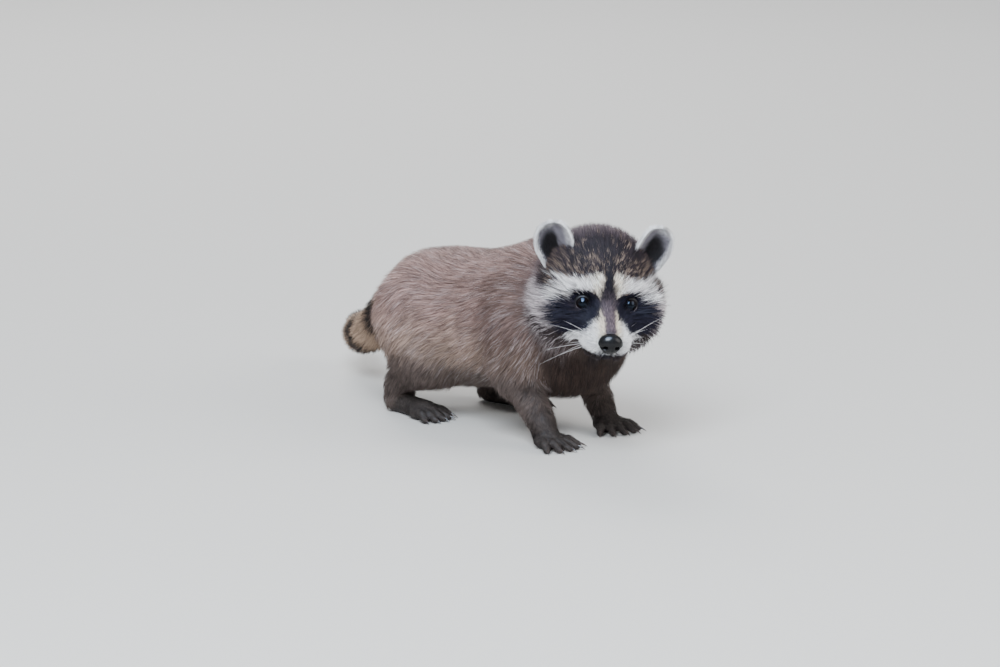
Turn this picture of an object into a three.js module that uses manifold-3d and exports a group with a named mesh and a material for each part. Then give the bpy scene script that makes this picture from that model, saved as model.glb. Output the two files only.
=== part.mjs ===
// A raccoon kit of about three months, life size, standing on all fours with its head turned to its right.
// Millimetres, +Z up. The body heads along -Y, so -X is the kit's right side. The floor is z = 0.
//
// The flesh is one smooth field, blended from rounded forms. It is cut along thin planes into the parts that
// a person would name, and the long coat stands on those parts as flat, tapered locks that overlap.
import * as THREE from "three";
import { mergeVertices } from "three/addons/utils/BufferGeometryUtils.js";
import Module from "manifold-3d";

const wasm = await Module();
wasm.setup();

// ---------------------------------------------------------------- driving sizes
const GAP = 0.35; // between parts that touch
const EYE_HEIGHT = 124; // of the point between the eyes, above the floor
const EYE_SPACING = 35.6; // between the eyes' centres
const EYE_RADIUS = 7.6;
const HEAD_YAW = 31.5; // degrees, turned to the kit's right
const HEAD_PITCH = 17; // degrees, nose down
const HEAD_ROLL = 5; // degrees, left side down
const WITHERS = { y: -58, z: 94 }; // centre of the chest
const LOIN = { y: 8, z: 83 };
const RUMP = { y: 68, z: 78 };
const TAIL_BANDS = 6;
const SOLE = 0; // height of the soles

// How far the coat's tips stand from the skin, and how far the solid core under its locks reaches.
const COAT = {
  face: { tips: 2.5, core: 2.5 },
  brow: { tips: 5, core: 5 },
  crown: { tips: 8, core: 8 },
  cheek: { tips: 13, core: 6.5 },
  neck: { tips: 13, core: 6.5 },
  body: { tips: 14, core: 7 },
  belly: { tips: 9, core: 9 },
  thigh: { tips: 11, core: 5.5 },
  limb: { tips: 4, core: 4 },
  paw: { tips: 0.8, core: 0.8 },
  tail: { tips: 15, core: 7.5 },
};

const COLOURS = {
  crown: 0x4a4042,
  pale: 0xd8cfc8,
  coat: 0x8f7c6e,
  limb: 0x544a45,
  paw: 0x4b423e,
  dark: 0x2b2624,
  nose: 0x16151a,
  eye: 0x0c0908,
};

// ---------------------------------------------------------------- small helpers
const vec = (x, y, z) => new THREE.Vector3(x, y, z);
const mix = (a, b, t) => a + (b - a) * t;
const rad = THREE.MathUtils.degToRad;
const SIDES = { left: 1, right: -1 };

// A seeded stream of numbers from 0 to 1, so that every build is alike.
function seeded(seed) {
  let state = seed >>> 0;
  return () => {
    state = (state + 0x6d2b79f5) >>> 0;
    let t = Math.imul(state ^ (state >>> 15), 1 | state);
    t = (t + Math.imul(t ^ (t >>> 7), 61 | t)) ^ t;
    return ((t ^ (t >>> 14)) >>> 0) / 4294967296;
  };
}

// ---------------------------------------------------------------- the head's own frame
// Its origin is the point between the eyes; x runs to the kit's right, y forward to the nose, z up.
const yaw = rad(HEAD_YAW);
const pitch = rad(HEAD_PITCH);
const levelForward = vec(-Math.sin(yaw), -Math.cos(yaw), 0);
const levelRight = vec(-Math.cos(yaw), Math.sin(yaw), 0);
const forward = levelForward.clone().multiplyScalar(Math.cos(pitch)).add(vec(0, 0, -Math.sin(pitch)));
const toRight = levelRight.clone().applyAxisAngle(forward, rad(-HEAD_ROLL));
const headUp = toRight.clone().cross(forward);
const HEAD_AT = vec(-40, -168, EYE_HEIGHT);
const HEAD_SIDES = { left: -1, right: 1 };
const headMatrix = new THREE.Matrix4().makeBasis(toRight, forward, headUp).setPosition(HEAD_AT);
const toHead = headMatrix.clone().invert();

// ---------------------------------------------------------------- the flesh, as a field
// Each form is an ellipsoid or a tapered rod, with the coat that grows on it and the width of its blend.
const ellipsoid = (x, y, z, rx, ry, rz, coat, blend) => ({
  at: [x, y, z],
  radii: [rx, ry, rz],
  coat,
  blend,
});
const rod = (from, to, r0, r1, coat, blend) => ({ from, to, r0, r1, coat, blend });

const bodyForms = [
  ellipsoid(-3, WITHERS.y, WITHERS.z, 43, 52, 43, COAT.body, 1),
  ellipsoid(0, LOIN.y, LOIN.z, 46, 72, 37, COAT.body, 34),
  ellipsoid(0, RUMP.y, RUMP.z, 47, 52, 43, COAT.body, 34),
  rod([-3, WITHERS.y + 6, WITHERS.z + 18], [0, LOIN.y + 6, LOIN.z + 17], 30, 24, COAT.body, 24),
  ellipsoid(-3, WITHERS.y - 4, 66, 32, 42, 24, COAT.belly, 20),
  ellipsoid(0, LOIN.y + 18, 62, 38, 58, 20, COAT.belly, 22),
  rod([-2, -80, 110], [-20, -124, 126], 37, 31, COAT.neck, 26),
  rod([-6, -96, 82], [-20, -126, 104], 28, 24, COAT.neck, 18),
];

const mirrored = (make) => Object.values(SIDES).flatMap(make);

// Where each leg's joints and sole lie. A front leg steps forward on the right, a hind leg on the left.
const FRONT = {
  left: {
    shoulder: [33, -64, 92],
    elbow: [38, -50, 56],
    wrist: [37, -74, 20],
    palm: [37, -83, 7],
    turn: -6, // of the paw, in degrees
  },
  right: {
    shoulder: [-37, -70, 92],
    elbow: [-43, -62, 56],
    wrist: [-42, -93, 20],
    palm: [-42, -102, 7],
    turn: 8,
  },
};
const HIND = {
  left: { hip: [30, 66, 84], knee: [43, 26, 52], hock: [42, 68, 24], ball: [46, 32, 7], turn: -10 },
  right: { hip: [-30, 72, 84], knee: [-43, 42, 52], hock: [-42, 86, 24], ball: [-46, 50, 7], turn: 10 },
};
const PAW_MIDDLE = 6; // height of the middle of each paw

const frontLegForms = ({ shoulder, elbow, wrist, palm }) => [
  rod(shoulder, elbow, 21, 14, COAT.thigh, 16),
  rod(elbow, wrist, 13, 8.5, COAT.limb, 8),
  rod(wrist, palm, 8.5, 7, COAT.paw, 5),
  ellipsoid(palm[0], palm[1], PAW_MIDDLE, 12, 12, 7.5, COAT.paw, 4),
];

const hindLegForms = ({ hip, knee, hock, ball }) => [
  ellipsoid(hip[0] * 1.12, hip[1] - 8, hip[2] - 10, 20, 40, 34, COAT.thigh, 16),
  rod(hip, knee, 27, 17, COAT.thigh, 16),
  rod(knee, hock, 14, 9, COAT.limb, 10),
  rod(hock, [hock[0], hock[1] + 3, 10], 9, 8, COAT.limb, 5),
  rod([hock[0], hock[1] + 2, 7.5], ball, 8.5, 7.5, COAT.paw, 5),
  ellipsoid(ball[0], ball[1], PAW_MIDDLE, 12, 13, 7.5, COAT.paw, 4),
];

// Five toes fan out from each palm. Each has a knuckle that is a little raised, and a tip on the floor.
const TOE_FAN = [-46, -21, 0, 20, 42];
const TOE_REACH = [0.72, 0.95, 1, 0.94, 0.74];
const TOE_ROOT_HEIGHT = 7.5;
const KNUCKLE_HEIGHT = 6.6;
const FRONT_PAW = { radius: 2.6, first: 10, second: 10, fan: 0.8, spread: 4.9 };
const HIND_PAW = { radius: 2.8, first: 9, second: 9, fan: 0.5, spread: 5 };

function toesOf(paw, [x, y], turn) {
  const side = [Math.cos(rad(turn)), Math.sin(rad(turn))];
  return TOE_FAN.map((angle, i) => {
    const heading = rad(angle * paw.fan + turn);
    const ahead = [Math.sin(heading), -Math.cos(heading)];
    const across = (i - 2) * paw.spread;
    const root = [x + across * side[0], y + across * side[1] - 3, TOE_ROOT_HEIGHT];
    const reach = TOE_REACH[i];
    const step = (from, length, z) => [from[0] + ahead[0] * length, from[1] + ahead[1] * length, z];
    const knuckle = step(root, paw.first * reach, KNUCKLE_HEIGHT);
    const tip = step(knuckle, paw.second * reach, paw.radius - 0.5);
    return { root, knuckle, tip, ahead, radius: paw.radius };
  });
}

const paws = {};
for (const side of Object.keys(SIDES)) {
  paws["front_" + side] = toesOf(FRONT_PAW, FRONT[side].palm, FRONT[side].turn);
  paws["hind_" + side] = toesOf(HIND_PAW, HIND[side].ball, HIND[side].turn);
}

// The tail hangs from the rump, and its line sweeps back and to the left, clear of the floor.
const tailLine = new THREE.CatmullRomCurve3(
  [vec(0, 100, 98), vec(2, 132, 86), vec(7, 164, 62), vec(16, 196, 43), vec(31, 226, 35), vec(52, 252, 34)],
  false,
  "centripetal",
);
const TAIL_ROOT_RADIUS = 15;
const TAIL_MIDDLE_RADIUS = 8.5;
const TAIL_TIP_RADIUS = 5;
const TAIL_STEPS = 12;
const tailRadius = (t) =>
  t < 0.25
    ? mix(TAIL_ROOT_RADIUS, TAIL_MIDDLE_RADIUS, Math.sin((t / 0.25) * (Math.PI / 2)))
    : mix(TAIL_MIDDLE_RADIUS, TAIL_TIP_RADIUS, (t - 0.25) / 0.75);
const tailForms = Array.from({ length: TAIL_STEPS }, (_, i) => {
  const [t0, t1] = [i / TAIL_STEPS, (i + 1) / TAIL_STEPS];
  const blend = i === 0 ? 20 : 4;
  return rod(
    tailLine.getPoint(t0).toArray(),
    tailLine.getPoint(t1).toArray(),
    tailRadius(t0),
    tailRadius(t1),
    COAT.tail,
    blend,
  );
});

// The head's forms, in the head's own frame.
const EYE_AT = (s) => [(s * EYE_SPACING) / 2, -3.4, 0.5];
const headForms = [
  ellipsoid(0, -40, 6, 35, 38, 30, COAT.crown, 1),
  ellipsoid(0, -30, -16, 28, 32, 18, COAT.neck, 14),
  ...mirrored((s) => [ellipsoid(s * 24, -24, -12, 18, 24, 20, COAT.cheek, 14)]),
  ellipsoid(0, -19, 8, 26, 21, 17, COAT.brow, 8),
  rod([0, -4, -3], [0, 27, -12], 10.5, 8, COAT.face, 6),
  ...mirrored((s) => [
    rod([s * 15, -10, -14], [s * 9, 12, -18], 10, 9, COAT.face, 8),
    ellipsoid(s * 8.5, 19, -20, 9.5, 14, 8.5, COAT.face, 6),
  ]),
  rod([0, -10, -25], [0, 20, -28.5], 12, 5.5, COAT.face, 5),
];
// The rolled edge of the upper lip, from under the nose back to the corner of the mouth.
const lipLine = (s) => [
  [0, 33.5, -25.5],
  [s * 7, 31.5, -27.6],
  [s * 13.5, 22, -28.6],
  [s * 16, 11, -27.2],
  [s * 15, 2, -25],
];
const LIP_RADIUS = 2;
for (const s of Object.values(SIDES)) {
  const line = lipLine(s);
  for (let i = 1; i < line.length; i++)
    headForms.push(rod(line[i - 1], line[i], LIP_RADIUS, LIP_RADIUS, COAT.face, 2.2));
}

const limbForms = [
  ...Object.values(FRONT).flatMap(frontLegForms),
  ...Object.values(HIND).flatMap(hindLegForms),
];
const HEAD_BLEND = 20; // between head and neck

// Signed distance from p to one form's skin, below zero inside it.
function distanceTo(form, x, y, z) {
  if (form.at) {
    const [cx, cy, cz] = form.at;
    const [rx, ry, rz] = form.radii;
    const [ux, uy, uz] = [(x - cx) / rx, (y - cy) / ry, (z - cz) / rz];
    const k0 = Math.hypot(ux, uy, uz);
    const k1 = Math.hypot(ux / rx, uy / ry, uz / rz);
    return k1 < 1e-9 ? -Math.min(rx, ry, rz) : (k0 * (k0 - 1)) / k1;
  }
  const [ax, ay, az] = form.from;
  const [bx, by, bz] = [form.to[0] - ax, form.to[1] - ay, form.to[2] - az];
  const [px, py, pz] = [x - ax, y - ay, z - az];
  const t = Math.min(1, Math.max(0, (px * bx + py * by + pz * bz) / (bx * bx + by * by + bz * bz)));
  return Math.hypot(px - bx * t, py - by * t, pz - bz * t) - mix(form.r0, form.r1, t);
}

// A smooth union: the nearer form wins, and near a seam distance and coat turn gradually to the other form's.
function join(a, d, coat, blend) {
  const h = Math.min(1, Math.max(0, 0.5 + (0.5 * (a.skin - d)) / blend));
  a.skin = mix(a.skin, d, h) - blend * h * (1 - h);
  a.tips = mix(a.tips, coat.tips, h);
  a.core = mix(a.core, coat.core, h);
}

function flesh(forms, x, y, z) {
  const sum = { skin: 1e6, tips: 0, core: 0 };
  for (const form of forms) join(sum, distanceTo(form, x, y, z), form.coat, form.blend);
  return sum;
}

function headFlesh(p) {
  const q = p.clone().applyMatrix4(toHead);
  return flesh(headForms, q.x, q.y, q.z);
}

function wholeFlesh(p) {
  const sum = flesh(bodyForms, p.x, p.y, p.z);
  for (const form of limbForms) join(sum, distanceTo(form, p.x, p.y, p.z), form.coat, form.blend);
  for (const form of tailForms) join(sum, distanceTo(form, p.x, p.y, p.z), form.coat, form.blend);
  const head = headFlesh(p);
  join(sum, head.skin, head, HEAD_BLEND);
  return sum;
}

// The solid core of the model: skin and short fur, or under the locks half the coat's depth.
const core = (p) => {
  const f = wholeFlesh(p);
  return f.skin - f.core;
};
const coatOverCore = (p) => {
  const f = wholeFlesh(p);
  return f.tips - f.core;
};

function gradient(field, p, step = 0.5) {
  const at = (dx, dy, dz) => field(vec(p.x + dx, p.y + dy, p.z + dz));
  return vec(
    at(step, 0, 0) - at(-step, 0, 0),
    at(0, step, 0) - at(0, -step, 0),
    at(0, 0, step) - at(0, 0, -step),
  ).divideScalar(2 * step);
}

// Moves p along the field's slope until the field there is level.
function drop(field, p, level = 0, rounds = 3) {
  for (let i = 0; i < rounds; i++) {
    const g = gradient(field, p);
    p.addScaledVector(g, (level - field(p)) / Math.max(g.lengthSq(), 0.05));
  }
  return p;
}

// ---------------------------------------------------------------- from a field to a closed mesh
// Where two bodies of the field meet only across the diagonal of a grid square, the square's nearer outer
// corner is taken as inside, so that the mesh has no edge with four faces.
function closePinches(values, [nx, ny, nz], cell) {
  const strides = [1, nx, nx * ny];
  const squares = [[0, 1], [1, 2], [2, 0]];
  let changed = true;
  while (changed) {
    changed = false;
    for (let k = 1; k < nz - 2; k++)
      for (let j = 1; j < ny - 2; j++)
        for (let i = 1; i < nx - 2; i++)
          for (const [a, b] of squares) {
            const at = i + nx * (j + ny * k);
            const ids = [at, at + strides[a], at + strides[a] + strides[b], at + strides[b]];
            const [p, q, r, t] = ids.map((id) => values[id] < 0);
            if (p !== r || q !== t || p === q) continue;
            const outer = p ? [ids[1], ids[3]] : [ids[0], ids[2]];
            values[values[outer[0]] < values[outer[1]] ? outer[0] : outer[1]] = -0.02 * cell;
            changed = true;
          }
  }
}

// Surface nets: one vertex in each cell that the surface crosses, and one quad for each crossed edge. All
// grids of one cell size are laid from the same point, so that parts cut from them meet in one outline.
function polygonize(field, from, to, cell) {
  const lo = from.clone().divideScalar(cell).floor().multiplyScalar(cell);
  const hi = to.clone().divideScalar(cell).ceil().multiplyScalar(cell);
  const count = ["x", "y", "z"].map((k) => Math.round((hi[k] - lo[k]) / cell) + 1);
  const [nx, ny, nz] = count;
  const index = (i, j, k) => i + nx * (j + ny * k);
  const values = new Float32Array(nx * ny * nz);
  for (let k = 0; k < nz; k++)
    for (let j = 0; j < ny; j++)
      for (let i = 0; i < nx; i++) {
        const rim = i === 0 || j === 0 || k === 0 || i === nx - 1 || j === ny - 1 || k === nz - 1;
        values[index(i, j, k)] = rim ? cell : field(vec(lo.x + i * cell, lo.y + j * cell, lo.z + k * cell));
      }
  closePinches(values, count, cell);
  const vertexOf = new Map();
  const points = [];
  const corners = [0, 1, 2, 3, 4, 5, 6, 7].map((c) => [c & 1, (c >> 1) & 1, c >> 2]);
  for (let k = 0; k < nz - 1; k++)
    for (let j = 0; j < ny - 1; j++)
      for (let i = 0; i < nx - 1; i++) {
        const v = corners.map(([a, b, c]) => values[index(i + a, j + b, k + c)]);
        const inside = v.filter((d) => d < 0).length;
        if (inside === 0 || inside === 8) continue;
        const mean = vec(0, 0, 0);
        let crossings = 0;
        for (let a = 0; a < 8; a++)
          for (const bit of [1, 2, 4]) {
            const b = a | bit;
            if (b === a || v[a] < 0 === v[b] < 0) continue;
            const t = v[a] / (v[a] - v[b]);
            mean.add(vec(...corners[a].map((c, axis) => mix(c, corners[b][axis], t))));
            crossings++;
          }
        mean.divideScalar(crossings);
        const p = vec(lo.x + (i + mean.x) * cell, lo.y + (j + mean.y) * cell, lo.z + (k + mean.z) * cell);
        const onRim = i === 0 || j === 0 || k === 0 || i === nx - 2 || j === ny - 2 || k === nz - 2;
        if (!onRim) {
          const settled = drop(field, p.clone(), 0, 2);
          if (settled.distanceTo(p) < cell * 0.6) p.copy(settled);
        }
        vertexOf.set(index(i, j, k), points.length);
        points.push(p);
      }
  const faces = [];
  const quad = (cells, flip) => {
    const ids = cells.map((c) => vertexOf.get(c));
    const [a, b, c, d] = flip ? ids.reverse() : ids;
    const shortAC = points[a].distanceTo(points[c]) < points[b].distanceTo(points[d]);
    faces.push(...(shortAC ? [a, b, c, a, c, d] : [a, b, d, b, c, d]));
  };
  for (let k = 0; k < nz - 1; k++)
    for (let j = 0; j < ny - 1; j++)
      for (let i = 0; i < nx - 1; i++) {
        const here = values[index(i, j, k)] < 0;
        const crossed = (a, b, c) => here !== values[index(i + a, j + b, k + c)] < 0;
        if (crossed(1, 0, 0))
          quad([index(i, j - 1, k - 1), index(i, j, k - 1), index(i, j, k), index(i, j - 1, k)], !here);
        if (crossed(0, 1, 0))
          quad([index(i - 1, j, k - 1), index(i - 1, j, k), index(i, j, k), index(i, j, k - 1)], !here);
        if (crossed(0, 0, 1))
          quad([index(i - 1, j - 1, k), index(i, j - 1, k), index(i, j, k), index(i - 1, j, k)], !here);
      }
  const geometry = new THREE.BufferGeometry();
  geometry.setAttribute("position", new THREE.Float32BufferAttribute(points.flatMap((p) => p.toArray()), 3));
  geometry.setIndex(faces);
  return geometry;
}

// ---------------------------------------------------------------- solids
function solidOf(geometry, matrix) {
  const bare = geometry.clone();
  bare.deleteAttribute("normal");
  bare.deleteAttribute("uv");
  if (matrix) bare.applyMatrix4(matrix);
  const merged = mergeVertices(bare, 1e-4);
  return new wasm.Manifold(
    new wasm.Mesh({
      numProp: 3,
      vertProperties: merged.attributes.position.array,
      triVerts: new Uint32Array(merged.index.array),
    }),
  );
}

function largestBody(solid) {
  return solid.decompose().reduce((best, body) => (body.volume() > best.volume() ? body : best));
}

function geometryOf(solid) {
  const mesh = solid.getMesh();
  const geometry = new THREE.BufferGeometry();
  const positions = new Float32Array(mesh.numVert * 3);
  for (let i = 0; i < mesh.numVert; i++)
    positions.set(mesh.vertProperties.subarray(i * mesh.numProp, i * mesh.numProp + 3), i * 3);
  geometry.setAttribute("position", new THREE.BufferAttribute(positions, 3));
  geometry.setIndex(new THREE.BufferAttribute(new Uint32Array(mesh.triVerts), 1));
  return geometry;
}

// A block with one face on the plane through point, reaching away from it along normal.
const FAR = 400;
function halfSpace(point, normal, shift = 0) {
  const turn = new THREE.Quaternion().setFromUnitVectors(vec(0, 0, 1), normal);
  const matrix = new THREE.Matrix4().compose(
    point.clone().addScaledVector(normal, FAR / 2 + shift),
    turn,
    vec(1, 1, 1),
  );
  return solidOf(new THREE.BoxGeometry(FAR, FAR, FAR), matrix);
}

function block(lo, hi, grow = 0) {
  const size = hi.clone().sub(lo).addScalar(2 * grow);
  const place = new THREE.Matrix4().setPosition(lo.clone().add(hi).multiplyScalar(0.5));
  return solidOf(new THREE.BoxGeometry(size.x, size.y, size.z), place);
}

// ---------------------------------------------------------------- locks of the coat
const LOCK_STATIONS = [0, 0.36, 0.72]; // shares of its length; the tip is one point
const LOCK_WIDTHS = [0.7, 1, 0.72];
const LOCK_DEPTHS = [1, 0.95, 0.7];
const LOCK_SINK = 3.5; // how deep its root is set in the core
const INFLATE = 0.5; // a lock's stand-in, cut out of whatever it hangs over, is thicker by this all round

// The line of a lock: it starts in the core, follows the lie of the coat and rises to the coat's own depth.
function lockLine(root, lie, length, rise) {
  const line = [];
  const p = drop(core, root.clone(), -LOCK_SINK);
  const steps = 10;
  for (let i = 0; i <= steps; i++) {
    const t = i / steps;
    const normal = gradient(core, p).normalize();
    line.push({ at: p.clone(), normal });
    const way = lie(p, normal).clone();
    way.addScaledVector(normal, -way.dot(normal)).normalize();
    p.addScaledVector(way, length / steps);
    const next = (i + 1) / steps;
    drop(core, p, mix(-LOCK_SINK, rise, Math.sin(Math.min(1, next * 1.08) * (Math.PI / 2))), 2);
  }
  return line;
}

// A lock has three sides, one of them flat on the core, so that it is ridged along its middle.
function lockSolid({ line, width, depth }, inflate = 0) {
  const steps = line.length - 1;
  const sample = (t) => {
    const i = Math.min(steps - 1, Math.floor(t * steps));
    const f = t * steps - i;
    return {
      at: line[i].at.clone().lerp(line[i + 1].at, f),
      normal: line[i].normal.clone().lerp(line[i + 1].normal, f).normalize(),
      along: line[i + 1].at.clone().sub(line[i].at).normalize(),
    };
  };
  const points = [];
  LOCK_STATIONS.forEach((t, n) => {
    const { at, normal, along } = sample(t);
    if (n === 0) at.addScaledVector(along, -inflate);
    const across = along.clone().cross(normal).normalize();
    const upward = across.clone().cross(along);
    const half = (width * LOCK_WIDTHS[n]) / 2 + inflate * 3.5;
    const base = at.clone().addScaledVector(upward, -depth * LOCK_DEPTHS[n] * 0.4 - inflate);
    points.push(
      base.clone().addScaledVector(across, half),
      at.clone().addScaledVector(upward, depth * LOCK_DEPTHS[n] * 0.6 + inflate * 1.5),
      base.clone().addScaledVector(across, -half),
    );
  });
  const end = sample(1);
  points.push(end.at.addScaledVector(end.along, inflate * 3));
  const faces = [0, 1, 2];
  const rings = LOCK_STATIONS.length;
  for (let ring = 0; ring < rings; ring++)
    for (let side = 0; side < 3; side++) {
      const [a, b] = [ring * 3 + side, ring * 3 + ((side + 1) % 3)];
      if (ring === rings - 1) faces.push(a, 3 * rings, b);
      else faces.push(a, a + 3, b, b, a + 3, b + 3);
    }
  return closed(points.map((p) => p.toArray()), faces);
}

// A lock whose line doubles back in a fold of the body can't lie flat, and is left out.
function liesFlat({ line }) {
  const ways = line.slice(1).map(({ at }, i) => at.clone().sub(line[i].at).normalize());
  return ways.slice(1).every((way, i) => way.dot(ways[i]) > 0.7);
}

// The point where a ray from inside the flesh leaves the core.
function coreAlong(origin, direction) {
  const p = origin.clone();
  for (let i = 0; i < 40; i++) {
    const d = core(p);
    if (d > -0.05) break;
    p.addScaledVector(direction, Math.max(-d * 0.8, 0.2));
  }
  return p;
}

// Rows of locks round a line inside the flesh. Each row is turned half a step from the one before it.
function locksRound({ line, from, to, rows, spacing, length, width, depth, lie, keep, seed }) {
  const random = seeded(seed);
  const found = [];
  for (let row = 0; row < rows; row++) {
    const t = rows === 1 ? from : mix(from, to, row / (rows - 1));
    const centre = line.getPointAt(t);
    const along = line.getTangentAt(t);
    const side = vec(0, 0, 1).cross(along).normalize();
    const up = along.clone().cross(side);
    const girth = (angle) => {
      const outward = side.clone().multiplyScalar(Math.sin(angle)).addScaledVector(up, Math.cos(angle));
      return coreAlong(centre, outward);
    };
    const ring = Array.from({ length: 24 }, (_, i) => girth((i / 12) * Math.PI));
    const around = ring.reduce((sum, p, i) => sum + p.distanceTo(ring[(i + 1) % 24]), 0);
    const count = Math.max(5, Math.round(around / spacing));
    for (let i = 0; i < count; i++) {
      const angle = ((i + (row % 2) / 2 + (random() - 0.5) * 0.25) / count) * 2 * Math.PI;
      const root = girth(angle);
      const size = mix(0.88, 1.12, random());
      if (keep && !keep(root)) continue;
      const rise = coatOverCore(root) * mix(0.8, 1, random()) - depth * 0.35;
      const sway = (random() - 0.5) * 0.3;
      const lieHere = (p, normal) => lie(p, normal).clone().applyAxisAngle(normal, sway);
      found.push({
        line: lockLine(root, lieHere, length * size, rise),
        width: ((width * around) / (count * spacing)) * mix(0.92, 1.05, random()),
        depth,
      });
    }
  }
  return found.filter(liesFlat);
}

// ---------------------------------------------------------------- the coat's lie
const DOWN = vec(0, 0, -1);
const BACK = vec(0, 1, 0);
const bodyLie = (p, normal) => BACK.clone().addScaledVector(DOWN, 0.25 + 0.45 * Math.abs(normal.x));
const legLie = () => vec(0, 0.45, -1);
const spine = new THREE.CatmullRomCurve3([
  vec(-5, -88, 96),
  vec(-3, WITHERS.y, WITHERS.z - 2),
  vec(0, LOIN.y, LOIN.z - 2),
  vec(0, RUMP.y, RUMP.z),
  vec(0, 112, 90),
]);
const neckLine = new THREE.CatmullRomCurve3([vec(-26, -136, 120), vec(-16, -112, 110), vec(-6, -86, 98)]);
const neckLie = () => vec(0.25, 1, -0.25);

function tailLie(p) {
  let best = 0;
  let nearest = Infinity;
  for (let i = 0; i <= 40; i++) {
    const d = tailLine.getPointAt(i / 40).distanceTo(p);
    if (d < nearest) [nearest, best] = [d, i / 40];
  }
  return tailLine.getTangentAt(best);
}

const headDirection = (x, y, z) => vec(x, y, z).transformDirection(headMatrix);
const headPoint = (x, y, z) => vec(x, y, z).applyMatrix4(headMatrix);

// The cheek's ruff fans out, back and down from beside the mask.
function cheekLocks(s) {
  const random = seeded(40 + s);
  const found = [];
  const rows = [
    { forward: -12, from: -8, to: -32, count: 3, length: 25 },
    { forward: -23, from: 8, to: -36, count: 4, length: 27 },
    { forward: -35, from: 12, to: -34, count: 4, length: 28 },
  ];
  const width = 15;
  for (const row of rows)
    for (let i = 0; i < row.count; i++) {
      const z = mix(row.from, row.to, i / (row.count - 1));
      const inside = headPoint(s * 8, row.forward, mix(z, -12, 0.4));
      const root = coreAlong(inside, headDirection(s, -0.1, (z + 12) / 34));
      const fan = (z + 12) / 30;
      const lie = () => headDirection(s * 0.25, -0.85, fan - 0.3);
      const rise = coatOverCore(root) * mix(0.85, 1.05, random());
      const length = row.length * mix(0.9, 1.1, random());
      found.push({ line: lockLine(root, lie, length, rise), width, depth: 4.5 });
    }
  return found;
}

// A row across the nape, from ear to ear, lies back over the neck.
function napeLocks() {
  const random = seeded(37);
  const count = 6;
  return Array.from({ length: count }, (_, i) => {
    const angle = mix(-1.25, 1.25, i / (count - 1));
    const root = coreAlong(headPoint(0, -50, -2), headDirection(Math.sin(angle), 0, Math.cos(angle)));
    const rise = coatOverCore(root) * 0.9 + 2;
    const line = lockLine(root, neckLie, 34 * mix(0.9, 1.1, random()), rise);
    return { line, width: 21, depth: 5 };
  });
}

// ---------------------------------------------------------------- where the flesh is cut
// Each plane's normal points to the part further from the nose.
const neckCut = { point: headPoint(0, -58, -8), normal: headDirection(0, -0.93, -0.3).normalize() };
const shoulderCut = { point: vec(-8, -92, 100), normal: vec(0.3, 0.92, -0.25).normalize() };
const muzzleCut = { point: headPoint(0, 8.5, 0), normal: headDirection(0, -1, 0).normalize() };
const WRIST = 21;
const HOCK = 21;
const frontLegCut = (s) => ({ point: vec(s * 21, 0, 50), normal: vec(s * 0.66, 0, -0.75).normalize() });
const hindLegCut = (s) => ({ point: vec(s * 20, 0, 50), normal: vec(s * 0.68, 0, -0.73).normalize() });
const TAIL_FROM = 0.12;
const tailCut = (band) => {
  const t = mix(TAIL_FROM, 1, band / TAIL_BANDS);
  return { point: tailLine.getPointAt(t), normal: tailLine.getTangentAt(t) };
};
const beyond = (cut, gap = GAP / 2) => halfSpace(cut.point, cut.normal, gap);
const before = (cut, gap = GAP / 2) => halfSpace(cut.point, cut.normal.clone().negate(), gap);

// ---------------------------------------------------------------- the head's fine pieces
// A ball whose points are moved by a function: the nose, the nostrils and the eyes start from it.
function ball(radii, across, down, matrix, shape = (p) => p) {
  const geometry = mergeVertices(bareSphere(across, down));
  const position = geometry.attributes.position;
  for (let i = 0; i < position.count; i++) {
    const p = shape(vec(position.getX(i), position.getY(i), position.getZ(i))).multiply(vec(...radii));
    position.setXYZ(i, p.x, p.y, p.z);
  }
  return solidOf(geometry, matrix);
}
function bareSphere(across, down) {
  const sphere = new THREE.SphereGeometry(1, across, down);
  sphere.deleteAttribute("normal");
  sphere.deleteAttribute("uv");
  return sphere;
}
const atHead = (x, y, z) => headMatrix.clone().multiply(new THREE.Matrix4().makeTranslation(x, y, z));

const NOSE = { at: [0, 35, -15], radii: [9.2, 7.4, 8] };
// The pad is broad above and narrows to the lip, with a flatter front.
function nosePad(grow = 0) {
  const radii = NOSE.radii.map((r) => r + grow);
  return ball(radii, 12, 8, atHead(...NOSE.at), (p) => {
    const narrow = p.z < 0 ? 1 + 0.34 * p.z : 1;
    return vec(p.x * narrow, p.y * (p.y > 0 ? 0.86 : 1.2), p.z);
  });
}
function nostril(s) {
  const place = atHead(s * 4.6, 41.2, -15.6).multiply(new THREE.Matrix4().makeRotationZ(s * -0.5));
  return ball([2, 3.4, 1.7], 6, 5, place);
}
function noseSolid() {
  return nosePad().subtract(nostril(1)).subtract(nostril(-1));
}

const gaze = (s) => vec(s * 0.4, 0.9, 0.12).normalize();
const LID = { radius: 8.3, tube: 1.6, wide: 0.9, tall: 0.76, around: 16, sides: 4 };
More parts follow.
